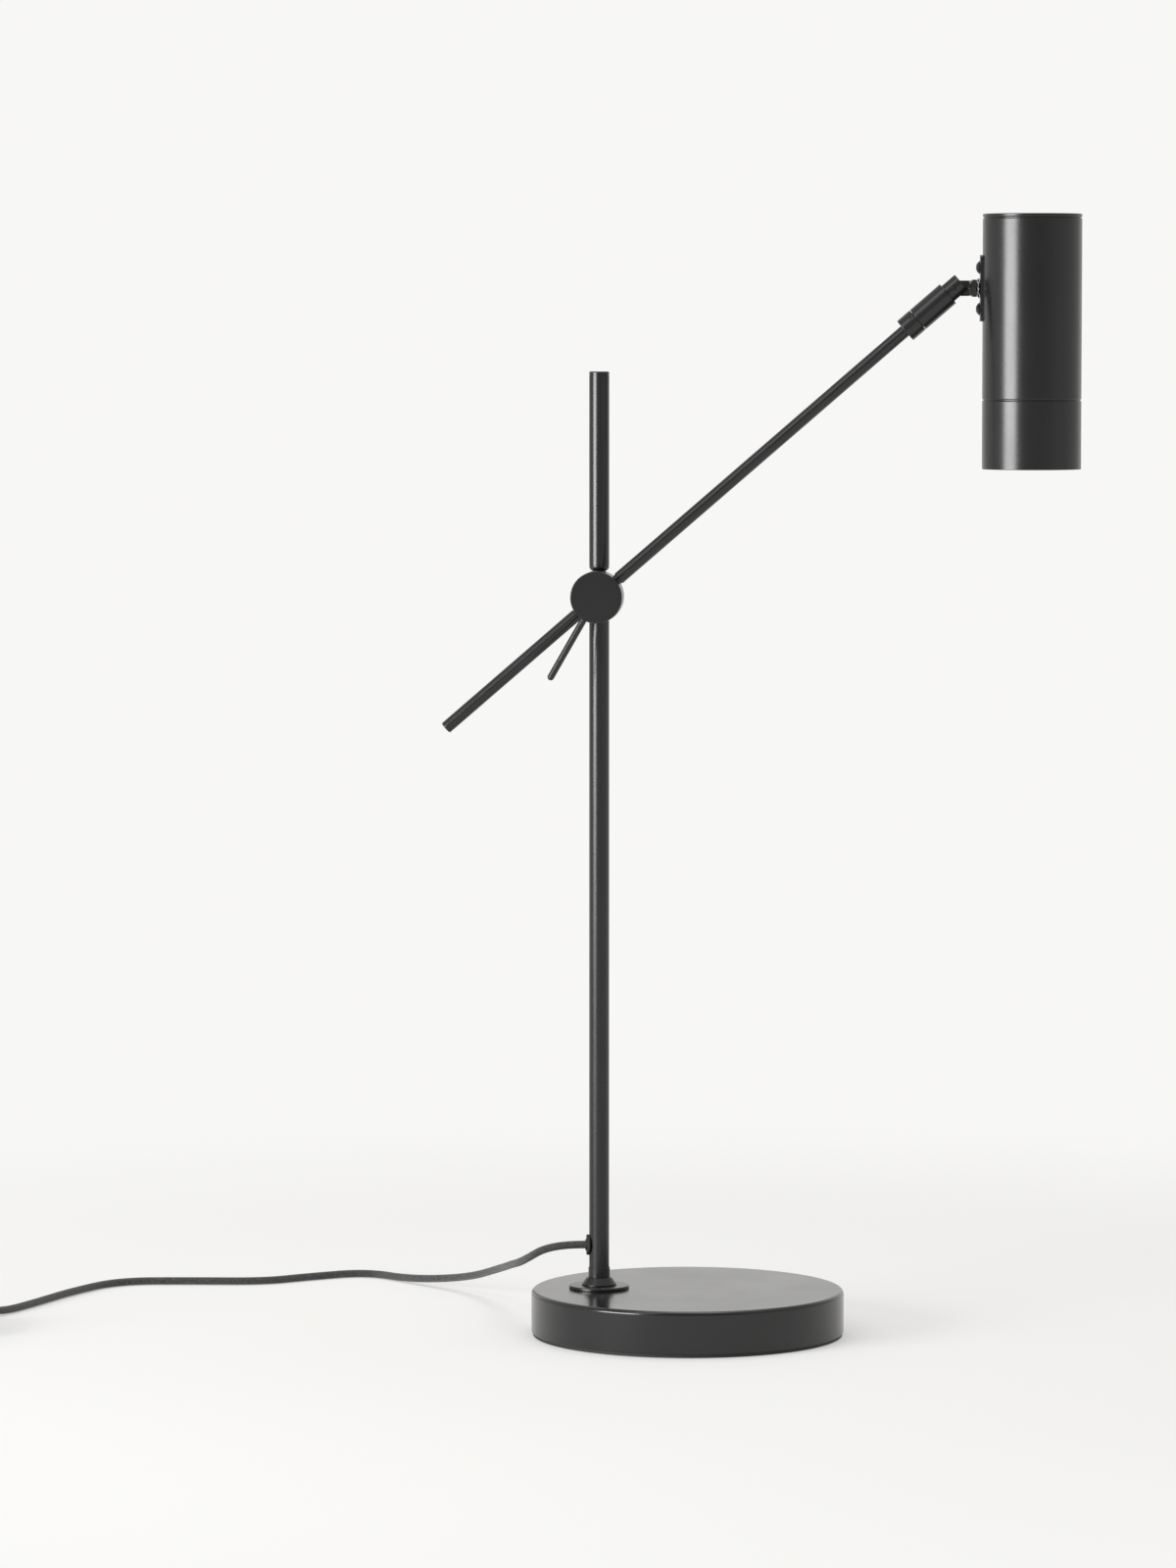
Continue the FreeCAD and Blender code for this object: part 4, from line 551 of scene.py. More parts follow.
# The finish of each material slot.
FINISHES = {
    "black_metal": powder_coat("black_powder_coat", 0.24, 0.30),
    # Chemically blackened fasteners: smooth, with the steel showing faintly through.
    "black_steel": mottled(
        "blackened_steel", ((0.018, 0.018, 0.020), (0.050, 0.048, 0.046)), tint=(0.9, 5, 0.45, 0.75),
        gloss=(0.35, 3, 0.24, 0.40), grain=(0.9, 5, 0.006), Metallic=0.55, IOR=1.5,
    ),
    # Zinc plate with a fine crystalline mottle.
    "bright_steel": mottled(
        "zinc_plate", ((0.50, 0.49, 0.48), (0.68, 0.68, 0.67)), tint=(1.1, 4),
        gloss=(0.5, 4, 0.22, 0.38), grain=(0.25, 2, 0.004), Metallic=1,
    ),
    # Polished nickel with hair-fine marks along the pins.
    "nickel": mottled(
        "nickel_plate", ((0.60, 0.57, 0.52), (0.72, 0.69, 0.64)), tint=(0.2, 3),
        gloss=(0.2, 3, 0.12, 0.26), grain=(0.2, 3, 0.003), stretch=(1, 0.03, 1), Metallic=1,
    ),
    # Sand-cast weight, dark and pitted.
    "iron": mottled(
        "cast_iron", ((0.035, 0.033, 0.032), (0.10, 0.095, 0.09)), tint=(0.8, 6),
        gloss=(0.8, 6, 0.55, 0.8), grain=(0.8, 6, 0.2), Metallic=0.6,
    ),
    "black_plastic": BLACK_MOULDING,
    "friction_plastic": moulded_plastic("friction_plastic", (0.02, 0.02, 0.02), (0.03, 0.03, 0.03), 0.4),
    # Dull rubber with dust in its grain.
    "rubber": mottled(
        "soft_rubber", ((0.010, 0.010, 0.010), (0.030, 0.029, 0.028)), tint=(0.5, 5, 0.5, 0.8),
        gloss=(0.5, 5, 0.55, 0.75), grain=(0.5, 5, 0.02), IOR=1.5,
    ),
    "wire_skin": moulded_plastic("wire_skin", (0.03, 0.03, 0.03), (0.04, 0.04, 0.04), 0.35, 0.2, 0.004),
    # Steatite lamp holder under a thin glaze.
    "ceramic": mottled(
        "glazed_ceramic", ((0.74, 0.72, 0.66), (0.60, 0.56, 0.48)), tint=(0.7, 5, 0.55, 0.75),
        gloss=(2.5, 2, 0.18, 0.34), grain=(1.4, 3, 0.02), IOR=1.55,
    ),
    "lamp_white": moulded_plastic(
        "lamp_body_white", (0.70, 0.70, 0.68), (0.77, 0.77, 0.75), 0.32, 0.5, 0.006
    ),
    # Frosted lamp lens: milky glass with a fine stipple.
    "lens": mottled(
        "frosted_lens", ((0.80, 0.82, 0.82), (0.88, 0.90, 0.90)), tint=(0.6, 2),
        gloss=(0.6, 2, 0.30, 0.45), grain=(0.6, 2, 0.05), IOR=1.5, Transmission_Weight=0.55,
    ),
    "terminal_plastic": moulded_plastic("terminal_moulding", (0.62, 0.62, 0.58), (0.70, 0.70, 0.66), 0.45),
}


def paint(piece, finish):
    piece.data.materials.clear()
    piece.data.materials.append(finish)


for cord, cord_length in ((lead, LEAD_LENGTH), (plug_lead, PLUG_LEAD_LENGTH)):
    paint(cord, woven_braid(cord.name + "_sleeve", cord_length))

SLOTS = {part["node"]: part["material_slot"] for part in frame["record"]["subparts"]}
for node, node_object in frame["nodes"].items():
    for used in node_object.material_slots:
        used.material = FINISHES.get(SLOTS[node], BLACK_MOULDING)


# ---- Modelling tools ----
def deselect():
    bpy.ops.object.select_all(action="DESELECT")


def set_mode(mode):
    bpy.ops.object.mode_set(mode=mode)


def arc(radius, height, size, start, end, steps=5):
    """Points round a corner with its centre at that radius and height, its angles in degrees."""
    angles = [math.radians(start + (end - start) * k / steps) for k in range(steps + 1)]
    return [(radius + size * math.cos(a), height + size * math.sin(a)) for a in angles]


def low_rim(radius, height, size, steps=5):
    """The rounded rim of a piece of that radius at its lower face."""
    return arc(radius - size, height + size, size, -90, 0, steps)


def high_rim(radius, height, size, steps=5):
    """The rounded rim of a piece of that radius at its upper face."""
    return arc(radius - size, height - size, size, 0, 90, steps)


def dome(radius, rise, base, middle):
    """A dome that bulges down from its base, from near its middle to its rim; middle is in degrees."""
    ball = (radius**2 + rise**2) / (2 * rise)
    swing = math.degrees(math.asin(radius / ball))
    return arc(0, base - rise + ball, ball, -90 + middle, -90 + swing, 10)


def turned(name, path, sides=96, bored=False):
    """A round piece about Z: a circle drawn out along a path of (radius, height) points."""
    deselect()
    radius, height = path[0]
    bpy.ops.mesh.primitive_circle_add(vertices=sides, radius=radius * MM, location=(0, 0, height * MM))
    set_mode("EDIT")
    for wide, high in path[1:]:
        rise = {"value": (0, 0, (high - height) * MM), "orient_type": "GLOBAL"}
        bpy.ops.mesh.extrude_region_move(TRANSFORM_OT_translate=rise)
        growth = wide / radius
        bpy.ops.transform.resize(value=(growth, growth, 1))
        radius, height = wide, high
    bpy.ops.mesh.select_all(action="DESELECT")
    bpy.ops.mesh.select_non_manifold()
    if bored:
        bpy.ops.mesh.bridge_edge_loops()
    else:
        bpy.ops.mesh.fill_holes(sides=0)
    bpy.ops.mesh.select_all(action="SELECT")
    bpy.ops.mesh.remove_doubles(threshold=0.002 * MM)
    bpy.ops.mesh.normals_make_consistent(inside=False)
    set_mode("OBJECT")
    bpy.ops.object.transform_apply()
    piece = bpy.context.object
    piece.name = piece.data.name = name
    return piece


def rod(name, radius, start, end, edge=0.25, bore=0.0, sides=96):
    """A bar or tube along Z with rounded rims."""
    path = low_rim(radius, start, edge) + high_rim(radius, end, edge)
    if bore:
        path = [(bore, start)] + path + [(bore, end)]
    return turned(name, path, sides, bored=bool(bore))


def block(name, size, centre):
    """A cuboid, its size and centre in millimetres."""
    deselect()
    bpy.ops.mesh.primitive_cube_add(size=1, location=[c * MM for c in centre])
    piece = bpy.context.object
    piece.scale = [s * MM for s in size]
    bpy.ops.object.transform_apply()
    piece.name = name
    return piece


def use(piece):
    deselect()
    piece.select_set(True)
    bpy.context.view_layer.objects.active = piece


def modify(piece, kind, **settings):
    """Applies a modifier."""
    use(piece)
    step = piece.modifiers.new(kind, kind)
    for setting, value in settings.items():
        setattr(step, setting, value)
    bpy.ops.object.modifier_apply(modifier=step.name)
    return piece


def carve(piece, cutter, operation="DIFFERENCE"):
    """Cuts, joins or meets a piece with another one, which is used up."""
    modify(piece, "BOOLEAN", operation=operation, solver="EXACT", object=cutter)
    bpy.data.objects.remove(cutter)
    return piece


def break_edges(piece, width, segments=2, angle=50):
    """Rounds every edge sharper than angle."""
    limit = math.radians(angle)
    modify(piece, "BEVEL", width=width * MM, segments=segments, limit_method="ANGLE", angle_limit=limit)


def smooth(piece, angle=32):
    use(piece)
    bpy.ops.object.shade_smooth_by_angle(angle=math.radians(angle))
    return modify(piece, "WEIGHTED_NORMAL", keep_sharp=True, weight=80)


def select_edges(piece, wanted):
    """Selects, in edit mode, the edges whose two ends satisfy wanted."""
    use(piece)
    set_mode("EDIT")
    bpy.ops.mesh.select_mode(type="EDGE")
    bpy.ops.mesh.select_all(action="DESELECT")
    set_mode("OBJECT")
    for edge in piece.data.edges:
        edge.select = wanted(*[piece.data.vertices[v].co / MM for v in edge.vertices])
    set_mode("EDIT")


def round_selected(size, segments):
    bpy.ops.mesh.bevel(offset=size * MM, segments=segments, affect="EDGES")
    bpy.ops.mesh.select_mode(type="VERT")
    set_mode("OBJECT")


def split_across(piece, y):
    """Adds a line of edges round a piece at that place along Y."""
    use(piece)
    set_mode("EDIT")
    bpy.ops.mesh.select_all(action="SELECT")
    bpy.ops.mesh.bisect(plane_co=(0, y * MM, 0), plane_no=(0, 1, 0))
    set_mode("OBJECT")


def put(piece, where):
    """Moves a piece made at the origin to its place, which stays in its mesh."""
    use(piece)
    piece.matrix_world = where
    bpy.ops.object.transform_apply()
    return piece


def drill(piece, line, radius, start, end, edge=0.1, sides=48):
    """Bores a round hole along a line."""
    return carve(piece, put(rod("hole", radius, start, end, edge, sides=sides), line))


def join(name, *pieces):
    use(pieces[0])
    for piece in pieces[1:]:
        piece.select_set(True)
    bpy.ops.object.join()
    pieces[0].name = pieces[0].data.name = name
    return pieces[0]


def fit(piece, line, body, node, slot="black_metal", finish=None, angle=32):
    """Smooths a piece, puts it in its place, gives it its finish and its body, and hides the CAD node that
    it stands for.
    """
    put(smooth(piece, angle), line)
    paint(piece, finish or FINISHES[slot])
    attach(piece, body)
    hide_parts(node)


def at(x, y, z):
    return Matrix.Translation((x * MM, y * MM, z * MM))


def about(axis, angle):
    return Matrix.Rotation(math.radians(angle), 4, axis)


# Frames of the lamp's own lines: a piece made along +Z at the origin is put along each of them.
ORIGIN = at(0, 0, 0)
POST_LINE = at(POST_X, 0, 0)
CORD_LINE = at(0, 0, CORD_EXIT_HEIGHT) @ about("Y", -90)
HUB_LINE = at(POST_X, 0, HUB_HEIGHT) @ about("X", 90)
LEVER_LINE = at(POST_X, LEVER_Y, HUB_HEIGHT) @ about("Y", 90 - LEVER_ANGLE)
ARM_LINE = at(POST_X, ARM_Y, HUB_HEIGHT) @ about("Y", 90 - ARM_ANGLE)
TAIL_LINE = at(POST_X, ARM_Y, HUB_HEIGHT) @ about("Y", -90 - ARM_ANGLE)
PIN_LINE = at(0, 0, PIVOT_REACH) @ about("X", 90)
PIVOT = (ARM_LINE @ at(0, 0, PIVOT_REACH)).to_translation()
PIVOT_HEIGHT = PIVOT.z / MM
NECK_LINE = Matrix.Translation(PIVOT) @ about("Y", 90)
HEAD_LINE = at(HEAD_X, ARM_Y, 0)
# From the head's axis towards the neck.
HEAD_SIDE = at(0, 0, PIVOT_HEIGHT) @ about("Y", -90)
SWITCH_LINE = at(SWITCH_X, (SWITCH_NEAR_Y + SWITCH_FAR_Y) / 2, 0)
PLUG_LINE = at(PLUG_X, PLUG_NEAR_Y, 0)
PLUG_AXIS = at(0, 0, PLUG_AXIS_Z) @ about("X", -90)


# ---- Foot ----
def make_foot():
    inner = FOOT_R - COVER_WALL
    path = [(inner, FOOT_TOP - COVER_WALL), (inner, PAD_TOP)]
    path += low_rim(FOOT_R, PAD_TOP, COVER_HEM_ROUND)
    path += high_rim(FOOT_R, FOOT_TOP, COVER_TOP_ROUND, 8)
    fit(turned("foot_cover", path, 256), ORIGIN, "stand", "base_cover", finish=FOOT_COAT)
    path = low_rim(PAD_R, 0, 0.4) + high_rim(PAD_R, PAD_TOP, 0.2)
    path += [(inner - PAD_GAP, PAD_TOP), (inner - PAD_GAP, PAD_INNER_TOP)]
    fit(turned("foot_pad", path, 256), ORIGIN, "stand", "base_pad", "rubber")
    path = [(STUD_R, FOOT_TOP)] + low_rim(FLANGE_R, FOOT_TOP, 0.35)
    path += high_rim(FLANGE_R, FLANGE_TOP, 0.6) + [(STUD_R, FLANGE_TOP)]
    fit(turned("foot_flange_disc", path, 160, bored=True), POST_LINE, "stand", "foot_flange")
    path = [(STUD_R, FLANGE_TOP)] + low_rim(CONE_LOWER_R, FLANGE_TOP, 0.2, 3)
    path += arc(CONE_LOWER_R - 0.3, CONE_LAND_TOP - 0.3, 0.3, 0, CONE_SLOPE, 3)
    path += arc(CONE_UPPER_R - 0.4, CONE_TOP - 0.4, 0.4, CONE_SLOPE, 90, 3)
    cone = turned("foot_cone_nut", path + [(STUD_R, CONE_TOP)], 128, bored=True)
    fit(cone, POST_LINE, "stand", "foot_cone")
    crosswise = at(0, 0, FOOT_SCREW_HEIGHT) @ about("X", 90)
    socket = rod("foot_sleeve", SOCKET_R, CONE_TOP, SOCKET_TOP, 0.2, POST_R)
    start, end = POST_R - 2, POST_R + 2
    drill(socket, crosswise, FOOT_SCREW_R + PLAY, start, end, sides=32)
    fit(socket, POST_LINE, "stand", "foot_socket")
    head = SOCKET_R - 0.15
    screw = rod("foot_grub_screw", FOOT_SCREW_R, POST_BORE, head, 0.15, sides=32)
    key = [(FOOT_SCREW_KEY, SOCKET_R - 1.2), (FOOT_SCREW_KEY, SOCKET_R + 1)]
    carve(screw, turned("key_hole", key, 6))
    black = FINISHES["black_steel"]
    fit(screw, POST_LINE @ crosswise, "stand", "foot_screw", "bright_steel", finish=black)


make_foot()


# ---- Post ----
def capped(name, radius, bore, start, end):
    """A flat end cap with a rounded rim, a thin seam under its lip, and a spigot into its tube."""
    lip, groove = end - CAP_LIP, radius - SEAM_DEPTH
    path = [(bore, start), (bore, lip), (groove, lip), (groove, lip + SEAM_WIDTH)]
    return turned(name, path + [(radius, lip + SEAM_WIDTH)] + high_rim(radius, end, CAP_ROUND))


def make_post():
    lower_end = HUB_HEIGHT - POST_HUB_R - POST_NECK_LENGTH
    plug_bottom = HUB_HEIGHT + POST_HUB_R + POST_NECK_LENGTH
    plug_top = plug_bottom + POST_PLUG_ROUND
    seam_top = plug_top + SEAM_WIDTH
    lower = rod("post_lower", POST_R, CONE_TOP, lower_end, 0.3, POST_BORE)
    drill(lower, CORD_LINE, CORD_EXIT_R, 0, POST_R + 2.85)
    fit(lower, POST_LINE, "stand", "post_lower_tube")
    upper = rod("post_upper", POST_R, seam_top, POST_TOP - CAP_LIP, 0.15, POST_BORE)
    fit(upper, POST_LINE, "stand", "post_upper_tube")
    groove = POST_R - SEAM_DEPTH
    path = [(POST_NECK_R, HUB_HEIGHT + REAR_CAP_R), (POST_NECK_R, plug_bottom)]
    path += low_rim(POST_R, plug_bottom, POST_PLUG_ROUND - 0.4, 7)
    path += [(POST_R, plug_top), (groove, plug_top), (groove, seam_top)]
    path += [(POST_BORE, seam_top), (POST_BORE, plug_top + SPIGOT_LENGTH)]
    upper_plug = turned("upper_plug", path)
    path = [(POST_BORE, lower_end - SPIGOT_LENGTH), (POST_BORE, lower_end)]
    path += [(POST_NECK_R, lower_end), (POST_NECK_R, HUB_HEIGHT - REAR_CAP_R)]
    plugs = join("post_end_plugs", upper_plug, turned("lower_plug", path))
    fit(plugs, POST_LINE, "stand", "post_plugs")
    cap_start = POST_TOP - CAP_LIP - SPIGOT_LENGTH
    cap = capped("post_cap", POST_R, POST_BORE, cap_start, POST_TOP)
    fit(cap, POST_LINE, "stand", "post_top_cap")


def make_grommet():
    """A rubber saddle on the post: an oval pad with a raised ring round the cord's hole."""
    pad = rod("cord_grommet", GROMMET_LENGTH / 2, POST_BORE, POST_R + 1.75, 0.7, sides=64)
    put(pad, CORD_LINE @ Matrix.Diagonal((1, GROMMET_WIDTH / GROMMET_LENGTH, 1, 1)))
    low, high = CORD_EXIT_HEIGHT - 8, CORD_EXIT_HEIGHT + 8
    carve(pad, rod("shell", POST_R + 1.8, low, high, 0.1, POST_R), "INTERSECT")
    break_edges(pad, 0.45, 3)
    bore, root = CORD_R + PLAY, POST_R - 0.6
    ring = [(bore, root), (GROMMET_RING_R, root), (GROMMET_RING_R, POST_R + 1.6)]
    ring += arc(GROMMET_RING_R - 0.6, POST_R + 1.7, 0.58, 0, 130, 6)
    ring = turned("ring", ring + [(bore, POST_R + 1.4)], 64, bored=True)
    carve(pad, put(ring, CORD_LINE), "UNION")
    fit(pad, POST_LINE, "stand", "cable_grommet", "rubber", angle=40)


make_post()
make_grommet()


# ---- Hub ----
def make_hub():
    # Heights along the hub's line are distances in front of the post's axis.
    back, front = -POST_HUB_REAR_Y, -POST_HUB_FRONT_Y
    disc = rod("post_hub_disc", POST_HUB_R, back, front, 0.35, BOLT_R, 128)
    carve(disc, rod("recess", REAR_CAP_R, back - 1, back + REAR_CAP_THICK, PLAY))
    fit(disc, HUB_LINE, "stand", "post_hub")
    inner, outer = FRICTION_RADII
    ring = rod("hub_friction_ring", outer, front, -FRICTION_FRONT_Y, 0.1, inner, 128)
    fit(ring, HUB_LINE, "stand", "friction_ring", "friction_plastic")
    path = [(REAR_CAP_R - PLAY, back + REAR_CAP_THICK - PLAY)]
    path += arc(REAR_CAP_R - 0.35, back + 0.3, 0.3, 0, -90, 4)
    path += dome(REAR_DOME_R, REAR_DOME_HEIGHT, back, 1.5)[::-1]
    fit(turned("hub_back_cover", path, 128), HUB_LINE, "stand", "hub_rear_cap")
    rear, front = -ARM_HUB_REAR_Y, -ARM_HUB_FRONT_Y
    arm_disc = rod("arm_hub_disc", HUB_R, rear, front, 0.4, BOLT_R + PLAY, 160)
    fit(arm_disc, HUB_LINE, "arm", "arm_hub")
    rear, front = -KNOB_REAR_Y, -KNOB_FRONT_Y
    path = low_rim(HUB_R, rear, 0.3, 3) + high_rim(HUB_R, front, KNOB_CHAMFER)
    knob = turned("locking_knob", path, 160)
    drill(knob, ORIGIN, BOLT_THREAD_R + PLAY, rear - 1, rear + 5.5, 0.05)
    fit(knob, HUB_LINE, "lock", "lock_knob")
    path = [(LEVER_STEM_R, HUB_R - 5), (LEVER_STEM_R, HUB_R - 0.1)]
    path += low_rim(LEVER_R, HUB_R - 0.1, 0.2, 3)
    path += arc(0, LEVER_REACH - LEVER_R, LEVER_R, 0, 86, 12)
    fit(turned("locking_lever", path, 64), LEVER_LINE, "lock", "lock_lever")


make_hub()


# ---- Arm and tail ----
def make_arm():
    tube = rod("arm_bar", ARM_R, ARM_START, COLLAR_END - 0.5, 0.25, ARM_BORE)
    fit(tube, ARM_LINE, "arm", "arm_tube")
    tail = rod("tail_bar", ARM_R, ARM_START, TAIL_REACH - CAP_LIP, 0.25, ARM_BORE)
    fit(tail, TAIL_LINE, "arm", "tail_tube")
    cap_start = TAIL_REACH - CAP_LIP - SPIGOT_LENGTH / 2
    cap = capped("tail_end_cap", ARM_R, ARM_BORE, cap_start, TAIL_REACH)
    fit(cap, TAIL_LINE, "arm", "tail_cap")
    root, end = HUB_R - HUB_WALL, ARM_START + SPIGOT_LENGTH
    path = [(NIPPLE_BORE, root), (ARM_NECK_R, root), (ARM_NECK_R, ARM_START)]
    path += [(ARM_BORE, ARM_START), (ARM_BORE, end), (NIPPLE_BORE, end)]
    necks = [put(turned("neck", path, bored=True), line) for line in (ARM_LINE, TAIL_LINE)]
    fit(join("arm_necks", *necks), ORIGIN, "arm", "arm_nipples")


def make_collar():
    """The fixed half of the swivel, with a slotted grub screw beside its seam."""
    path = [(ARM_R, COLLAR_START)] + low_rim(SWIVEL_R, COLLAR_START, 0.4, 4)
    path += high_rim(SWIVEL_R, COLLAR_END, 0.2, 3) + [(SPIGOT_R, COLLAR_END)]
    path += [(SPIGOT_R, SPIGOT_END - 0.3), (SPIGOT_R - 0.3, SPIGOT_END)]
    path += [(SWIVEL_BORE, SPIGOT_END), (SWIVEL_BORE, COLLAR_END), (ARM_R, COLLAR_END - 0.01)]
    collar = turned("swivel_collar_ring", path, 128, bored=True)
    screw_height = COLLAR_END - GRUB_R - 0.2
    outward = at(0, 0, screw_height) @ about("Z", -GRUB_ANGLE) @ about("X", 90)
    seat_start, seat_end = ARM_R + 0.3, SWIVEL_R + 2
    drill(collar, outward, GRUB_R + 0.06, seat_start, seat_end, 0.05)
    fit(collar, ARM_LINE, "arm", "swivel_collar")
    head = SWIVEL_R - 0.1
    screw = rod("collar_grub_screw", GRUB_R, ARM_R, head, 0.15, sides=48)
    slot = block("slot", GRUB_SLOT, (0, 0, SWIVEL_R))
    carve(screw, put(slot, about("Z", GRUB_TURN)))
    fit(screw, ARM_LINE @ outward, "arm", "collar_screw", "black_steel")


def make_sleeve():
    """The turning half of the swivel: a sleeve that necks down to a slotted fork."""
    room_radius, room_end = SPIGOT_R + PLAY, SPIGOT_END + 0.3
    path = [(room_radius, SLEEVE_START)] + low_rim(SWIVEL_R, SLEEVE_START, 0.2, 3)
    path += high_rim(SWIVEL_R, FORK_ROOT, 0.3, 3) + [(FORK_R, FORK_ROOT)]
    path += high_rim(FORK_R, FORK_END, 0.5, 3)
    path += [(SWIVEL_BORE, FORK_END), (SWIVEL_BORE, room_end), (room_radius, room_end)]
    sleeve = turned("swivel_fork", path, 128, bored=True)
    length = FORK_END - FORK_ROOT + 4
    carve(sleeve, block("slot", (30, FORK_SLOT, length), (0, 0, FORK_ROOT + length / 2)))
    drill(sleeve, PIN_LINE, PIN_R + 0.02, -12, 12, 0.01)
    break_edges(sleeve, 0.2)
    fit(sleeve, ARM_LINE, "sleeve", "swivel_sleeve")
    half = FORK_R - 0.2
    pin = rod("knuckle_rivet", PIN_R, -half, half, 0.3, sides=48)
    fit(pin, ARM_LINE @ PIN_LINE, "sleeve", "knuckle_pin", "black_steel")


make_arm()
make_collar()
make_sleeve()


# ---- Neck and saddle ----
def threads(radius, start, end, pitch=0.8, depth=0.25):
    """The path of a thread's ridges, as rings."""
    path = [(radius - depth, start + 0.02)]
    for k in range(int((end - start) / pitch)):
        crest = start + (k + 0.5) * pitch
        path += [(radius, crest), (radius - depth, crest + pitch / 2)]
    return path + [(radius - depth, end)]


def make_neck():
    """A flat tongue on the knuckle's pin that grows into a round shoulder and a hollow thread."""
    radius, half = TONGUE_WIDTH / 2, TONGUE_THICK / 2
    tongue = put(rod("swivel_tongue", radius, -half, half, 0.01), about("X", 90))
    web = block("web", (TONGUE_WIDTH, TONGUE_THICK, NECK_SHOULDER), (0, 0, NECK_SHOULDER / 2))
    carve(tongue, web, "UNION")
    thread_end = SADDLE_FACE + SADDLE_THICK + HEAD_R - HEAD_BORE + 1 + NUT_THICK
    path = low_rim(radius, NECK_SHOULDER, 0.3, 3) + high_rim(radius, NUT_START, 0.3, 3)
    path += threads(THREAD_R, NUT_START, thread_end)
    carve(tongue, turned("shoulder", path, 64), "UNION")
    drill(tongue, ORIGIN, NECK_BORE, NECK_SHOULDER + 0.5, thread_end + 1, 0.05)
    drill(tongue, about("X", 90), PIN_R + PLAY, -6, 6, 0.01)
    break_edges(tongue, 0.25)
    fit(tongue, NECK_LINE, "head", "swivel_neck")


def hex_nut(name, start):
    """A hexagon nut with its corners turned off at both faces and a countersunk thread."""
    end, corner = start + NUT_THICK, NUT_CORNERS / 2
    nut = turned(name, [(corner, start), (corner, end)], 6)
    break_edges(nut, 0.15, 2, 25)
    face, wide = corner * math.cos(math.pi / 6) - 0.25, corner + 0.2
    path = [(face, start - 0.01), (wide, start + 0.8), (wide, end - 0.8), (face, end + 0.01)]
    carve(nut, turned("barrel", path, 96), "INTERSECT")
    bore = THREAD_R - 0.02
    sink = [(bore + 0.6, start - 0.3), (bore, start + 0.35), (bore, end - 0.35), (bore + 0.6, end + 0.3)]
    return carve(nut, turned("thread_bore", sink, 64))


def make_neck_nuts():
    inner_start = SADDLE_FACE + SADDLE_THICK + HEAD_R
    inner_start -= math.sqrt(HEAD_BORE**2 - (NUT_CORNERS / 2) ** 2)
    nuts = join("neck_lock_nuts", hex_nut("outer_nut", NUT_START), hex_nut("inner_nut", inner_start))
    fit(nuts, NECK_LINE, "head", "neck_nuts", "black_steel", angle=20)


def make_star_washer():
    """A toothed lock washer, its teeth twisted out of its plane."""
    low = NUT_START + NUT_THICK + (WASHER_THICK - WASHER_SHEET) / 2
    high = low + WASHER_SHEET
    ring = rod("toothed_washer", WASHER_R, low, high, 0.08, THREAD_R)
    for k in range(WASHER_TEETH):
        tooth = block("tooth", (*WASHER_TOOTH, WASHER_SHEET), (WASHER_R + 0.15, 0, 0))
        spin = about("Z", 360 * k / WASHER_TEETH)
        put(tooth, at(0, 0, low + WASHER_SHEET / 2) @ spin @ about("X", WASHER_TWIST))
        carve(ring, tooth, "UNION")
    break_edges(ring, 0.08)
    fit(ring, NECK_LINE, "head", "star_washer", "bright_steel")


def make_saddle():
    """A plate bent to the head's wall, with rounded corners and holes for the neck and its screws."""
    outer = HEAD_R + SADDLE_THICK
    low, high = PIVOT_HEIGHT - SADDLE_HEIGHT / 2, PIVOT_HEIGHT + SADDLE_HEIGHT / 2
    plate = rod("saddle_curve", outer, low, high, 0.01, HEAD_R + 0.01, 256)
    blank = block("blank", (SADDLE_HEIGHT, SADDLE_WIDTH, HEAD_R), (0, 0, 0))
    select_edges(blank, lambda a, b: abs(a.z - b.z) > HEAD_R / 2)
    round_selected(SADDLE_CORNER, 10)
    put(blank, at(-HEAD_R, 0, PIVOT_HEIGHT) @ about("Y", 90))
    carve(plate, blank, "INTERSECT")
    drill(plate, HEAD_SIDE, THREAD_R + PLAY, *HEAD_HOLE_REACH)
    for side in (-1, 1):
        line = at(0, 0, side * SCREW_PITCH / 2) @ HEAD_SIDE
        drill(plate, line, SCREW_R + PLAY, *HEAD_HOLE_REACH)
    break_edges(plate, 0.3, 3)
    fit(plate, HEAD_LINE, "head", "saddle_plate")


def make_saddle_screws():
    """Two domed screws with hexagon sockets, their heads on the saddle."""
    path = dome(SCREW_HEAD, SCREW_DOME, 0, 1.0)[:-1]
    path += [(SCREW_HEAD - 0.05, -0.25), (SCREW_HEAD - 0.1, 0)]
    path += threads(SCREW_R, 0, SCREW_LENGTH, 0.7, 0.22)
    key = [(SCREW_KEY, -SCREW_DOME - 1), (SCREW_KEY, -0.7)]
    screws = []
    for side in (-1, 1):
        screw = carve(turned("screw", path, 64), turned("socket", key, 6))
        screws.append(put(screw, NECK_LINE @ at(-side * SCREW_PITCH / 2, 0, SADDLE_FACE)))
    fit(join("saddle_dome_screws", *screws), ORIGIN, "head", "saddle_screws", "black_steel")


make_neck()
make_neck_nuts()
make_star_washer()
make_saddle()
make_saddle_screws()


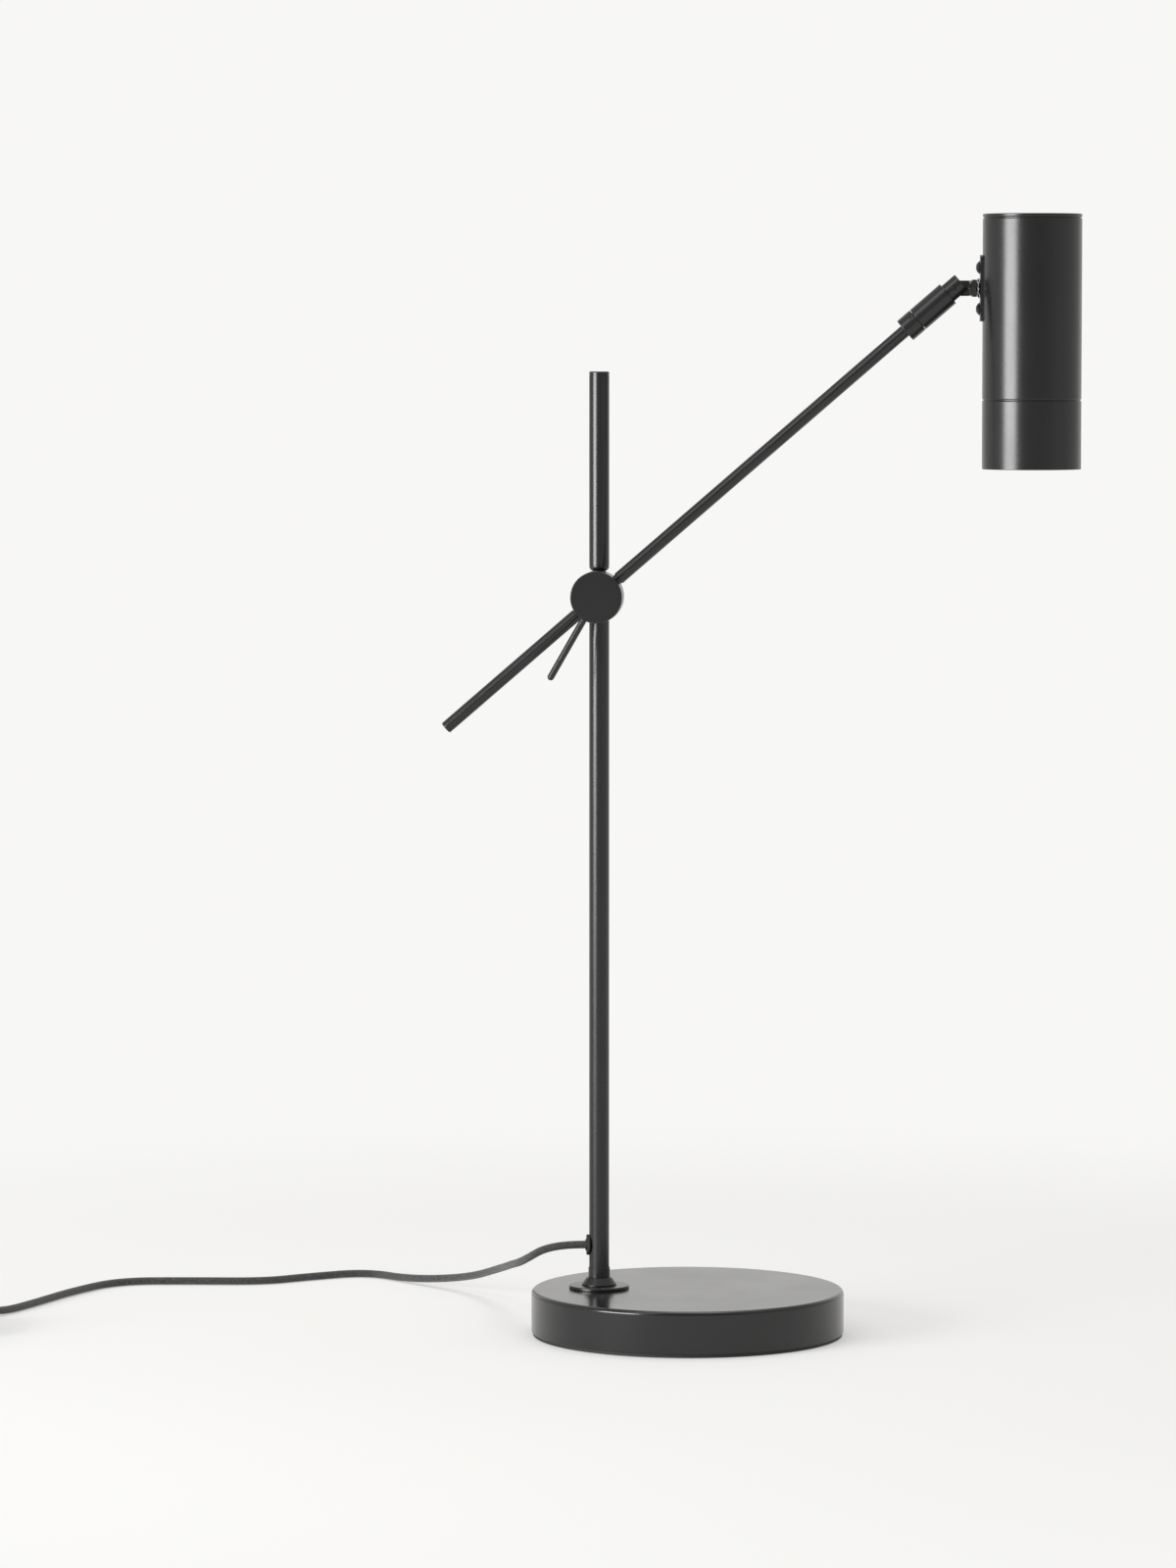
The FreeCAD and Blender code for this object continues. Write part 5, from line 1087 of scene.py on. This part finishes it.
# ---- Head ----
def make_head():
    shell = rod("head_shell", HEAD_R, RING_TOP, TUBE_TOP, HEAD_LIP, HEAD_BORE, 256)
    drill(shell, HEAD_SIDE, THREAD_R + 0.02, *HEAD_HOLE_REACH)
    fit(shell, HEAD_LINE, "head", "head_tube")
    groove, seam_top = HEAD_R - HEAD_SEAM_DEPTH, TUBE_TOP + HEAD_SEAM_WIDTH
    spigot_end = TUBE_TOP - CAP_LIP
    path = [(HEAD_BORE - 1.2, spigot_end), (HEAD_BORE, spigot_end), (HEAD_BORE, TUBE_TOP)]
    path += [(groove, TUBE_TOP), (groove, seam_top)]
    path += low_rim(HEAD_R, seam_top, HEAD_LIP, 4) + high_rim(HEAD_R, HEAD_TOP, HEAD_ROUND)
    fit(turned("head_top_cap", path, 256), HEAD_LINE, "head", "head_cap")
    seam, spigot_end = RING_TOP - HEAD_SEAM_WIDTH, RING_TOP + RING_SPIGOT_LENGTH
    path = [(HEAD_BORE, RETAINER_TOP), (HEAD_BORE, HEAD_BOTTOM + RING_LIP)]
    path += [(HEAD_BORE + 0.6, HEAD_BOTTOM)] + low_rim(HEAD_R, HEAD_BOTTOM, 0.3, 3)
    path += high_rim(HEAD_R, seam, HEAD_LIP, 4)
    path += [(groove, seam), (groove, RING_TOP), (HEAD_BORE, RING_TOP), (HEAD_BORE, spigot_end)]
    path += [(RING_SPIGOT_BORE, spigot_end), (RING_SPIGOT_BORE, RETAINER_TOP)]
    fit(turned("head_front_ring", path, 256, bored=True), HEAD_LINE, "head", "head_ring")
    path = [(HEAD_BORE, RETAINER_BOTTOM), (HEAD_BORE, RETAINER_TOP), (RETAINER_OPENING, RETAINER_TOP)]
    path += arc(RETAINER_OPENING + 0.4, RETAINER_BOTTOM + 0.4, 0.4, 180, 270, 4)
    fit(turned("lamp_retaining_ring", path, 192, bored=True), HEAD_LINE, "head", "lamp_retainer")


def make_lamp():
    """The lamp: a domed lens with rings of small lenses, and a white body with two pins."""
    middle = LENS_BOTTOM - LENS_BULGE
    rings = [(0.4, middle)]
    for k in range(LENS_RINGS):
        radius = 1.5 + (LENS_R - 2.6) * k / (LENS_RINGS - 1)
        height = middle + LENS_BULGE * (radius / LENS_R) ** 2
        rings += [(radius, height), (radius + 0.55, height + 0.16)]
    lens = turned("lamp_face_lens", rings + [(LENS_R, LENS_BOTTOM), (LENS_R, LENS_TOP)], 160)
    fit(lens, HEAD_LINE, "head", "lamp_lens", "lens", angle=60)
    path = [(LENS_R, LENS_TOP), (LENS_R, RETAINER_TOP + 0.1)]
    path += [(LENS_R + 0.1, RETAINER_TOP)] + low_rim(LAMP_R, RETAINER_TOP, 0.3, 3)
    path += [(radius, RETAINER_TOP + height) for radius, height in LAMP_PROFILE]
    body = turned("reflector_lamp", path, 128)
    start, end = RETAINER_TOP + LAMP_PROFILE[-1][1] - 1, RETAINER_TOP + LAMP_HEIGHT
    for side in (-1, 1):
        pin = rod("pin", LAMP_PIN_R, start, end, 0.3, sides=48)
        carve(body, put(pin, at(0, side * LAMP_PIN_PITCH / 2, 0)), "UNION")
    fit(body, HEAD_LINE, "head", "lamp_body", "lamp_white")


make_head()
make_lamp()


# ---- Switch ----
def switch_shell(name, low, high):
    """The part between two heights of a hollow block with round ends and softened long edges."""
    size, middle = (SWITCH_WIDTH, SWITCH_LENGTH, SWITCH_HEIGHT), SWITCH_HEIGHT / 2
    shell = block(name, size, (0, 0, middle))
    select_edges(shell, lambda a, b: abs(a.z - b.z) > middle)
    round_selected(SWITCH_END_ROUND, 14)
    select_edges(shell, lambda a, b: abs(a.z - b.z) < 0.01)
    round_selected(SWITCH_EDGE_ROUND, 6)
    carve(shell, block("slab", (40, 80, high - low), (0, 0, (low + high) / 2)), "INTERSECT")
    return carve(shell, block("room", [s - 2 * SWITCH_WALL for s in size], (0, 0, middle)))


def make_switch():
    middle, half_seam = SWITCH_HEIGHT / 2, SWITCH_SEAM / 2
    lower = switch_shell("switch_bottom", 0, middle - half_seam)
    for side in (-1, 1):
        drill(lower, at(0, side * SWITCH_SCREW_PITCH / 2, 0), SWITCH_SCREW_R, -1, 1.4)
    upper = switch_shell("switch_top", middle + half_seam, SWITCH_HEIGHT)
    window = (ROCKER_WIDTH + 2 * ROCKER_GAP, ROCKER_LENGTH + 2 * ROCKER_GAP, 6)
    carve(upper, block("window", window, (0, 0, SWITCH_HEIGHT)))
    for shell, node in ((lower, "switch_lower_shell"), (upper, "switch_upper_shell")):
        break_edges(shell, 0.18)
        fit(shell, SWITCH_LINE, "stand", node, "black_plastic")


def make_rocker():
    rocker = block("switch_key", (ROCKER_WIDTH, ROCKER_LENGTH, ROCKER_DEPTH), (0, 0, ROCKER_MIDDLE))
    split_across(rocker, 0)
    slope = math.tan(math.radians(ROCKER_TILT))
    for vertex in rocker.data.vertices:
        if vertex.co.z > ROCKER_MIDDLE * MM:
            vertex.co.z = ROCKER_TOP * MM - abs(vertex.co.y) * slope
            vertex.co.y *= 1 - ROCKER_DRAFT / (ROCKER_LENGTH / 2)
    axle = rod("axle", ROCKER_AXLE_R, -ROCKER_AXLE_REACH, ROCKER_AXLE_REACH, 0.1, sides=32)
    carve(rocker, put(axle, at(0, 0, ROCKER_AXLE_HEIGHT + 1.0) @ about("Y", 90)), "UNION")
    for k in range(3):
        place = DASH_START + DASH_PITCH * k
        carve(rocker, block("dash", DASH_SIZE, (0, place, ROCKER_TOP - place * slope)))
    break_edges(rocker, 0.2, 3)
    tilt = at(0, 0, ROCKER_AXLE_HEIGHT) @ about("X", ROCKER_TILT) @ at(0, 0, -ROCKER_AXLE_HEIGHT)
    fit(rocker, SWITCH_LINE @ tilt, "rocker", "switch_rocker", "black_plastic")


make_switch()
make_rocker()


# ---- Plug ----
def relief_outline():
    """The ribbed sleeve from the cord's end, each rib a little wider than the one before it."""
    pitch = PLUG_START / RELIEF_RIBS
    slope = (RELIEF_ROOT - RELIEF_TIP) / PLUG_START
    path = [(1.0, 0)]
    for k in range(RELIEF_RIBS):
        start, end = k * pitch, (k + 1) * pitch - RELIEF_GROOVE
        low, high = RELIEF_TIP + slope * start, RELIEF_TIP + slope * end
        groove = high - RELIEF_GROOVE_DEPTH
        path += low_rim(low, start, 0.35, 3) + high_rim(high, end, 0.35, 3)
        path += [(groove, end), (groove, (k + 1) * pitch)]
    end = PLUG_START + 3
    return path + [(RELIEF_ROOT, PLUG_START), (RELIEF_ROOT, end), (1.0, end)]


def make_plug():
    """A flat two-pin plug: a body that narrows to its ribbed sleeve, with grips on its sides."""
    middle, half = PLUG_START + PLUG_LENGTH / 2, PLUG_THICK / 2
    body = block("plug_moulding", (PLUG_WIDTH, PLUG_LENGTH, PLUG_THICK), (0, middle, half))
    split_across(body, PLUG_START + PLUG_LENGTH - PLUG_SHOULDER)
    for vertex in body.data.vertices:
        if vertex.co.y < (PLUG_START + 1) * MM:
            vertex.co.x *= PLUG_NECK_WIDTH / PLUG_WIDTH
    select_edges(body, lambda a, b: abs(a.z - b.z) > 1)
    round_selected(PLUG_CORNER_ROUND, 8)
    # No edge first, and then the sharp ones.
    select_edges(body, lambda a, b: False)
    bpy.ops.mesh.edges_select_sharp(sharpness=math.radians(60))
    round_selected(PLUG_EDGE_ROUND, 6)
    carve(body, put(turned("sleeve", relief_outline(), 64), PLUG_AXIS), "UNION")
    for side in (-1, 1):
        for k in range(PLUG_GRIPS):
            line = at(side * (PLUG_WIDTH / 2 + 0.15), middle + 2 + PLUG_GRIP_PITCH * k, half)
            drill(body, line, PLUG_GRIP_R, -PLUG_THICK, PLUG_THICK, 0.05, 24)
    fit(body, PLUG_LINE, "stand", "plug_body", "black_plastic", angle=35)


def make_plug_pins():
    start, thin = PLUG_START + PLUG_LENGTH, PLUG_PIN_R - 0.15
    sleeve_end, tip = start + PLUG_PIN_SLEEVE, start + PLUG_PIN_LENGTH - PLUG_PIN_ROUND
    path = [(thin, start - 1.0), (thin, sleeve_end), (PLUG_PIN_R, sleeve_end + 0.15)]
    path += arc(PLUG_PIN_R - PLUG_PIN_ROUND, tip, PLUG_PIN_ROUND, 0, 84, 8)
    pins = []
    for side in (-1, 1):
        pins.append(put(turned("pin", path, 64), at(side * PLUG_PIN_PITCH / 2, 0, 0)))
    fit(join("plug_contact_pins", *pins), PLUG_LINE @ PLUG_AXIS, "stand", "plug_pins", "nickel")


make_plug()
make_plug_pins()


# ---- Table, backdrop and lights ----
def light_the_room():
    """A white room: paper white where it is seen, darker in mirrors, and softer as light."""
    world = bpy.data.worlds.new("studio")
    bpy.context.scene.world = world
    world.use_nodes = True
    nodes, links = world.node_tree.nodes, world.node_tree.links
    direction = nodes.new("ShaderNodeSeparateXYZ")
    links.new(nodes.new("ShaderNodeTexCoord").outputs["Generated"], direction.inputs["Vector"])
    depth = nodes.new("ShaderNodeMapRange")
    depth.inputs["From Min"].default_value = -1.0
    links.new(direction.outputs["Y"], depth.inputs["Value"])
    ramp = nodes.new("ShaderNodeValToRGB")
    ramp.color_ramp.interpolation = "EASE"
    stops = ramp.color_ramp.elements
    while len(stops) < len(MIRRORED):
        stops.new(0.5)
    for stop, (place, share) in zip(stops, MIRRORED):
        stop.position = place
        stop.color = (*[c * share for c in PAPER], 1)
    links.new(depth.outputs["Result"], ramp.inputs["Fac"])
    rays = nodes.new("ShaderNodeLightPath").outputs
    seen = mix_colours(nodes, links, rays["Is Glossy Ray"], DAYLIGHT, ramp.outputs["Color"])
    for ray in ("Is Transmission Ray", "Is Camera Ray"):
        seen = mix_colours(nodes, links, rays[ray], seen, PAPER)
    links.new(seen, nodes["Background"].inputs["Color"])


def add_lamp(name, place, aim, size, power):
    data = bpy.data.lights.new(name, "AREA")
    data.shape = "RECTANGLE"
    data.size, data.size_y = size
    data.energy = power
    lamp = add_object(name, data)
    lamp.location = place
    lamp.rotation_euler = (Vector(aim) - Vector(place)).to_track_quat("-Z", "Y").to_euler()


def lay_the_table():
    """A white table that keeps the lamp's shadow nearby and fades into the backdrop further out."""
    deselect()
    bpy.ops.mesh.primitive_plane_add(size=TABLE_SIZE, location=(0, 0, TABLE_HEIGHT))
    bpy.ops.object.transform_apply()
    table = bpy.context.object
    table.name = "table"
    finish = Finish("white_table")
    nodes, links = finish.nodes, finish.links
    shade = finish.spread(finish.noise(3.0, 3.0), 0, 1)
    finish.tint(shade, (0.925, 0.920, 0.905), (0.935, 0.930, 0.915))
    finish.set(Roughness=0.9, IOR=1.2)
    length = finish.add("VectorMath")
    length.operation = "LENGTH"
    links.new(finish.place, length.inputs[0])
    far = finish.spread(length.outputs["Value"], TABLE_GLOW, 1, TABLE_LIT_R, TABLE_FADE_R)
    far.node.interpolation_type = "SMOOTHSTEP"
    paper = finish.add("Emission")
    paper.inputs["Color"].default_value = (*PAPER, 1)
    both = finish.add("MixShader")
    links.new(far, both.inputs["Fac"])
    links.new(finish.shader.outputs["BSDF"], both.inputs[1])
    links.new(paper.outputs["Emission"], both.inputs[2])
    links.new(both.outputs["Shader"], nodes["Material Output"].inputs["Surface"])
    paint(table, finish.material)


light_the_room()
lay_the_table()
for softbox in SOFTBOXES:
    add_lamp(*softbox)

bpy.context.scene.view_settings.view_transform = "Standard"
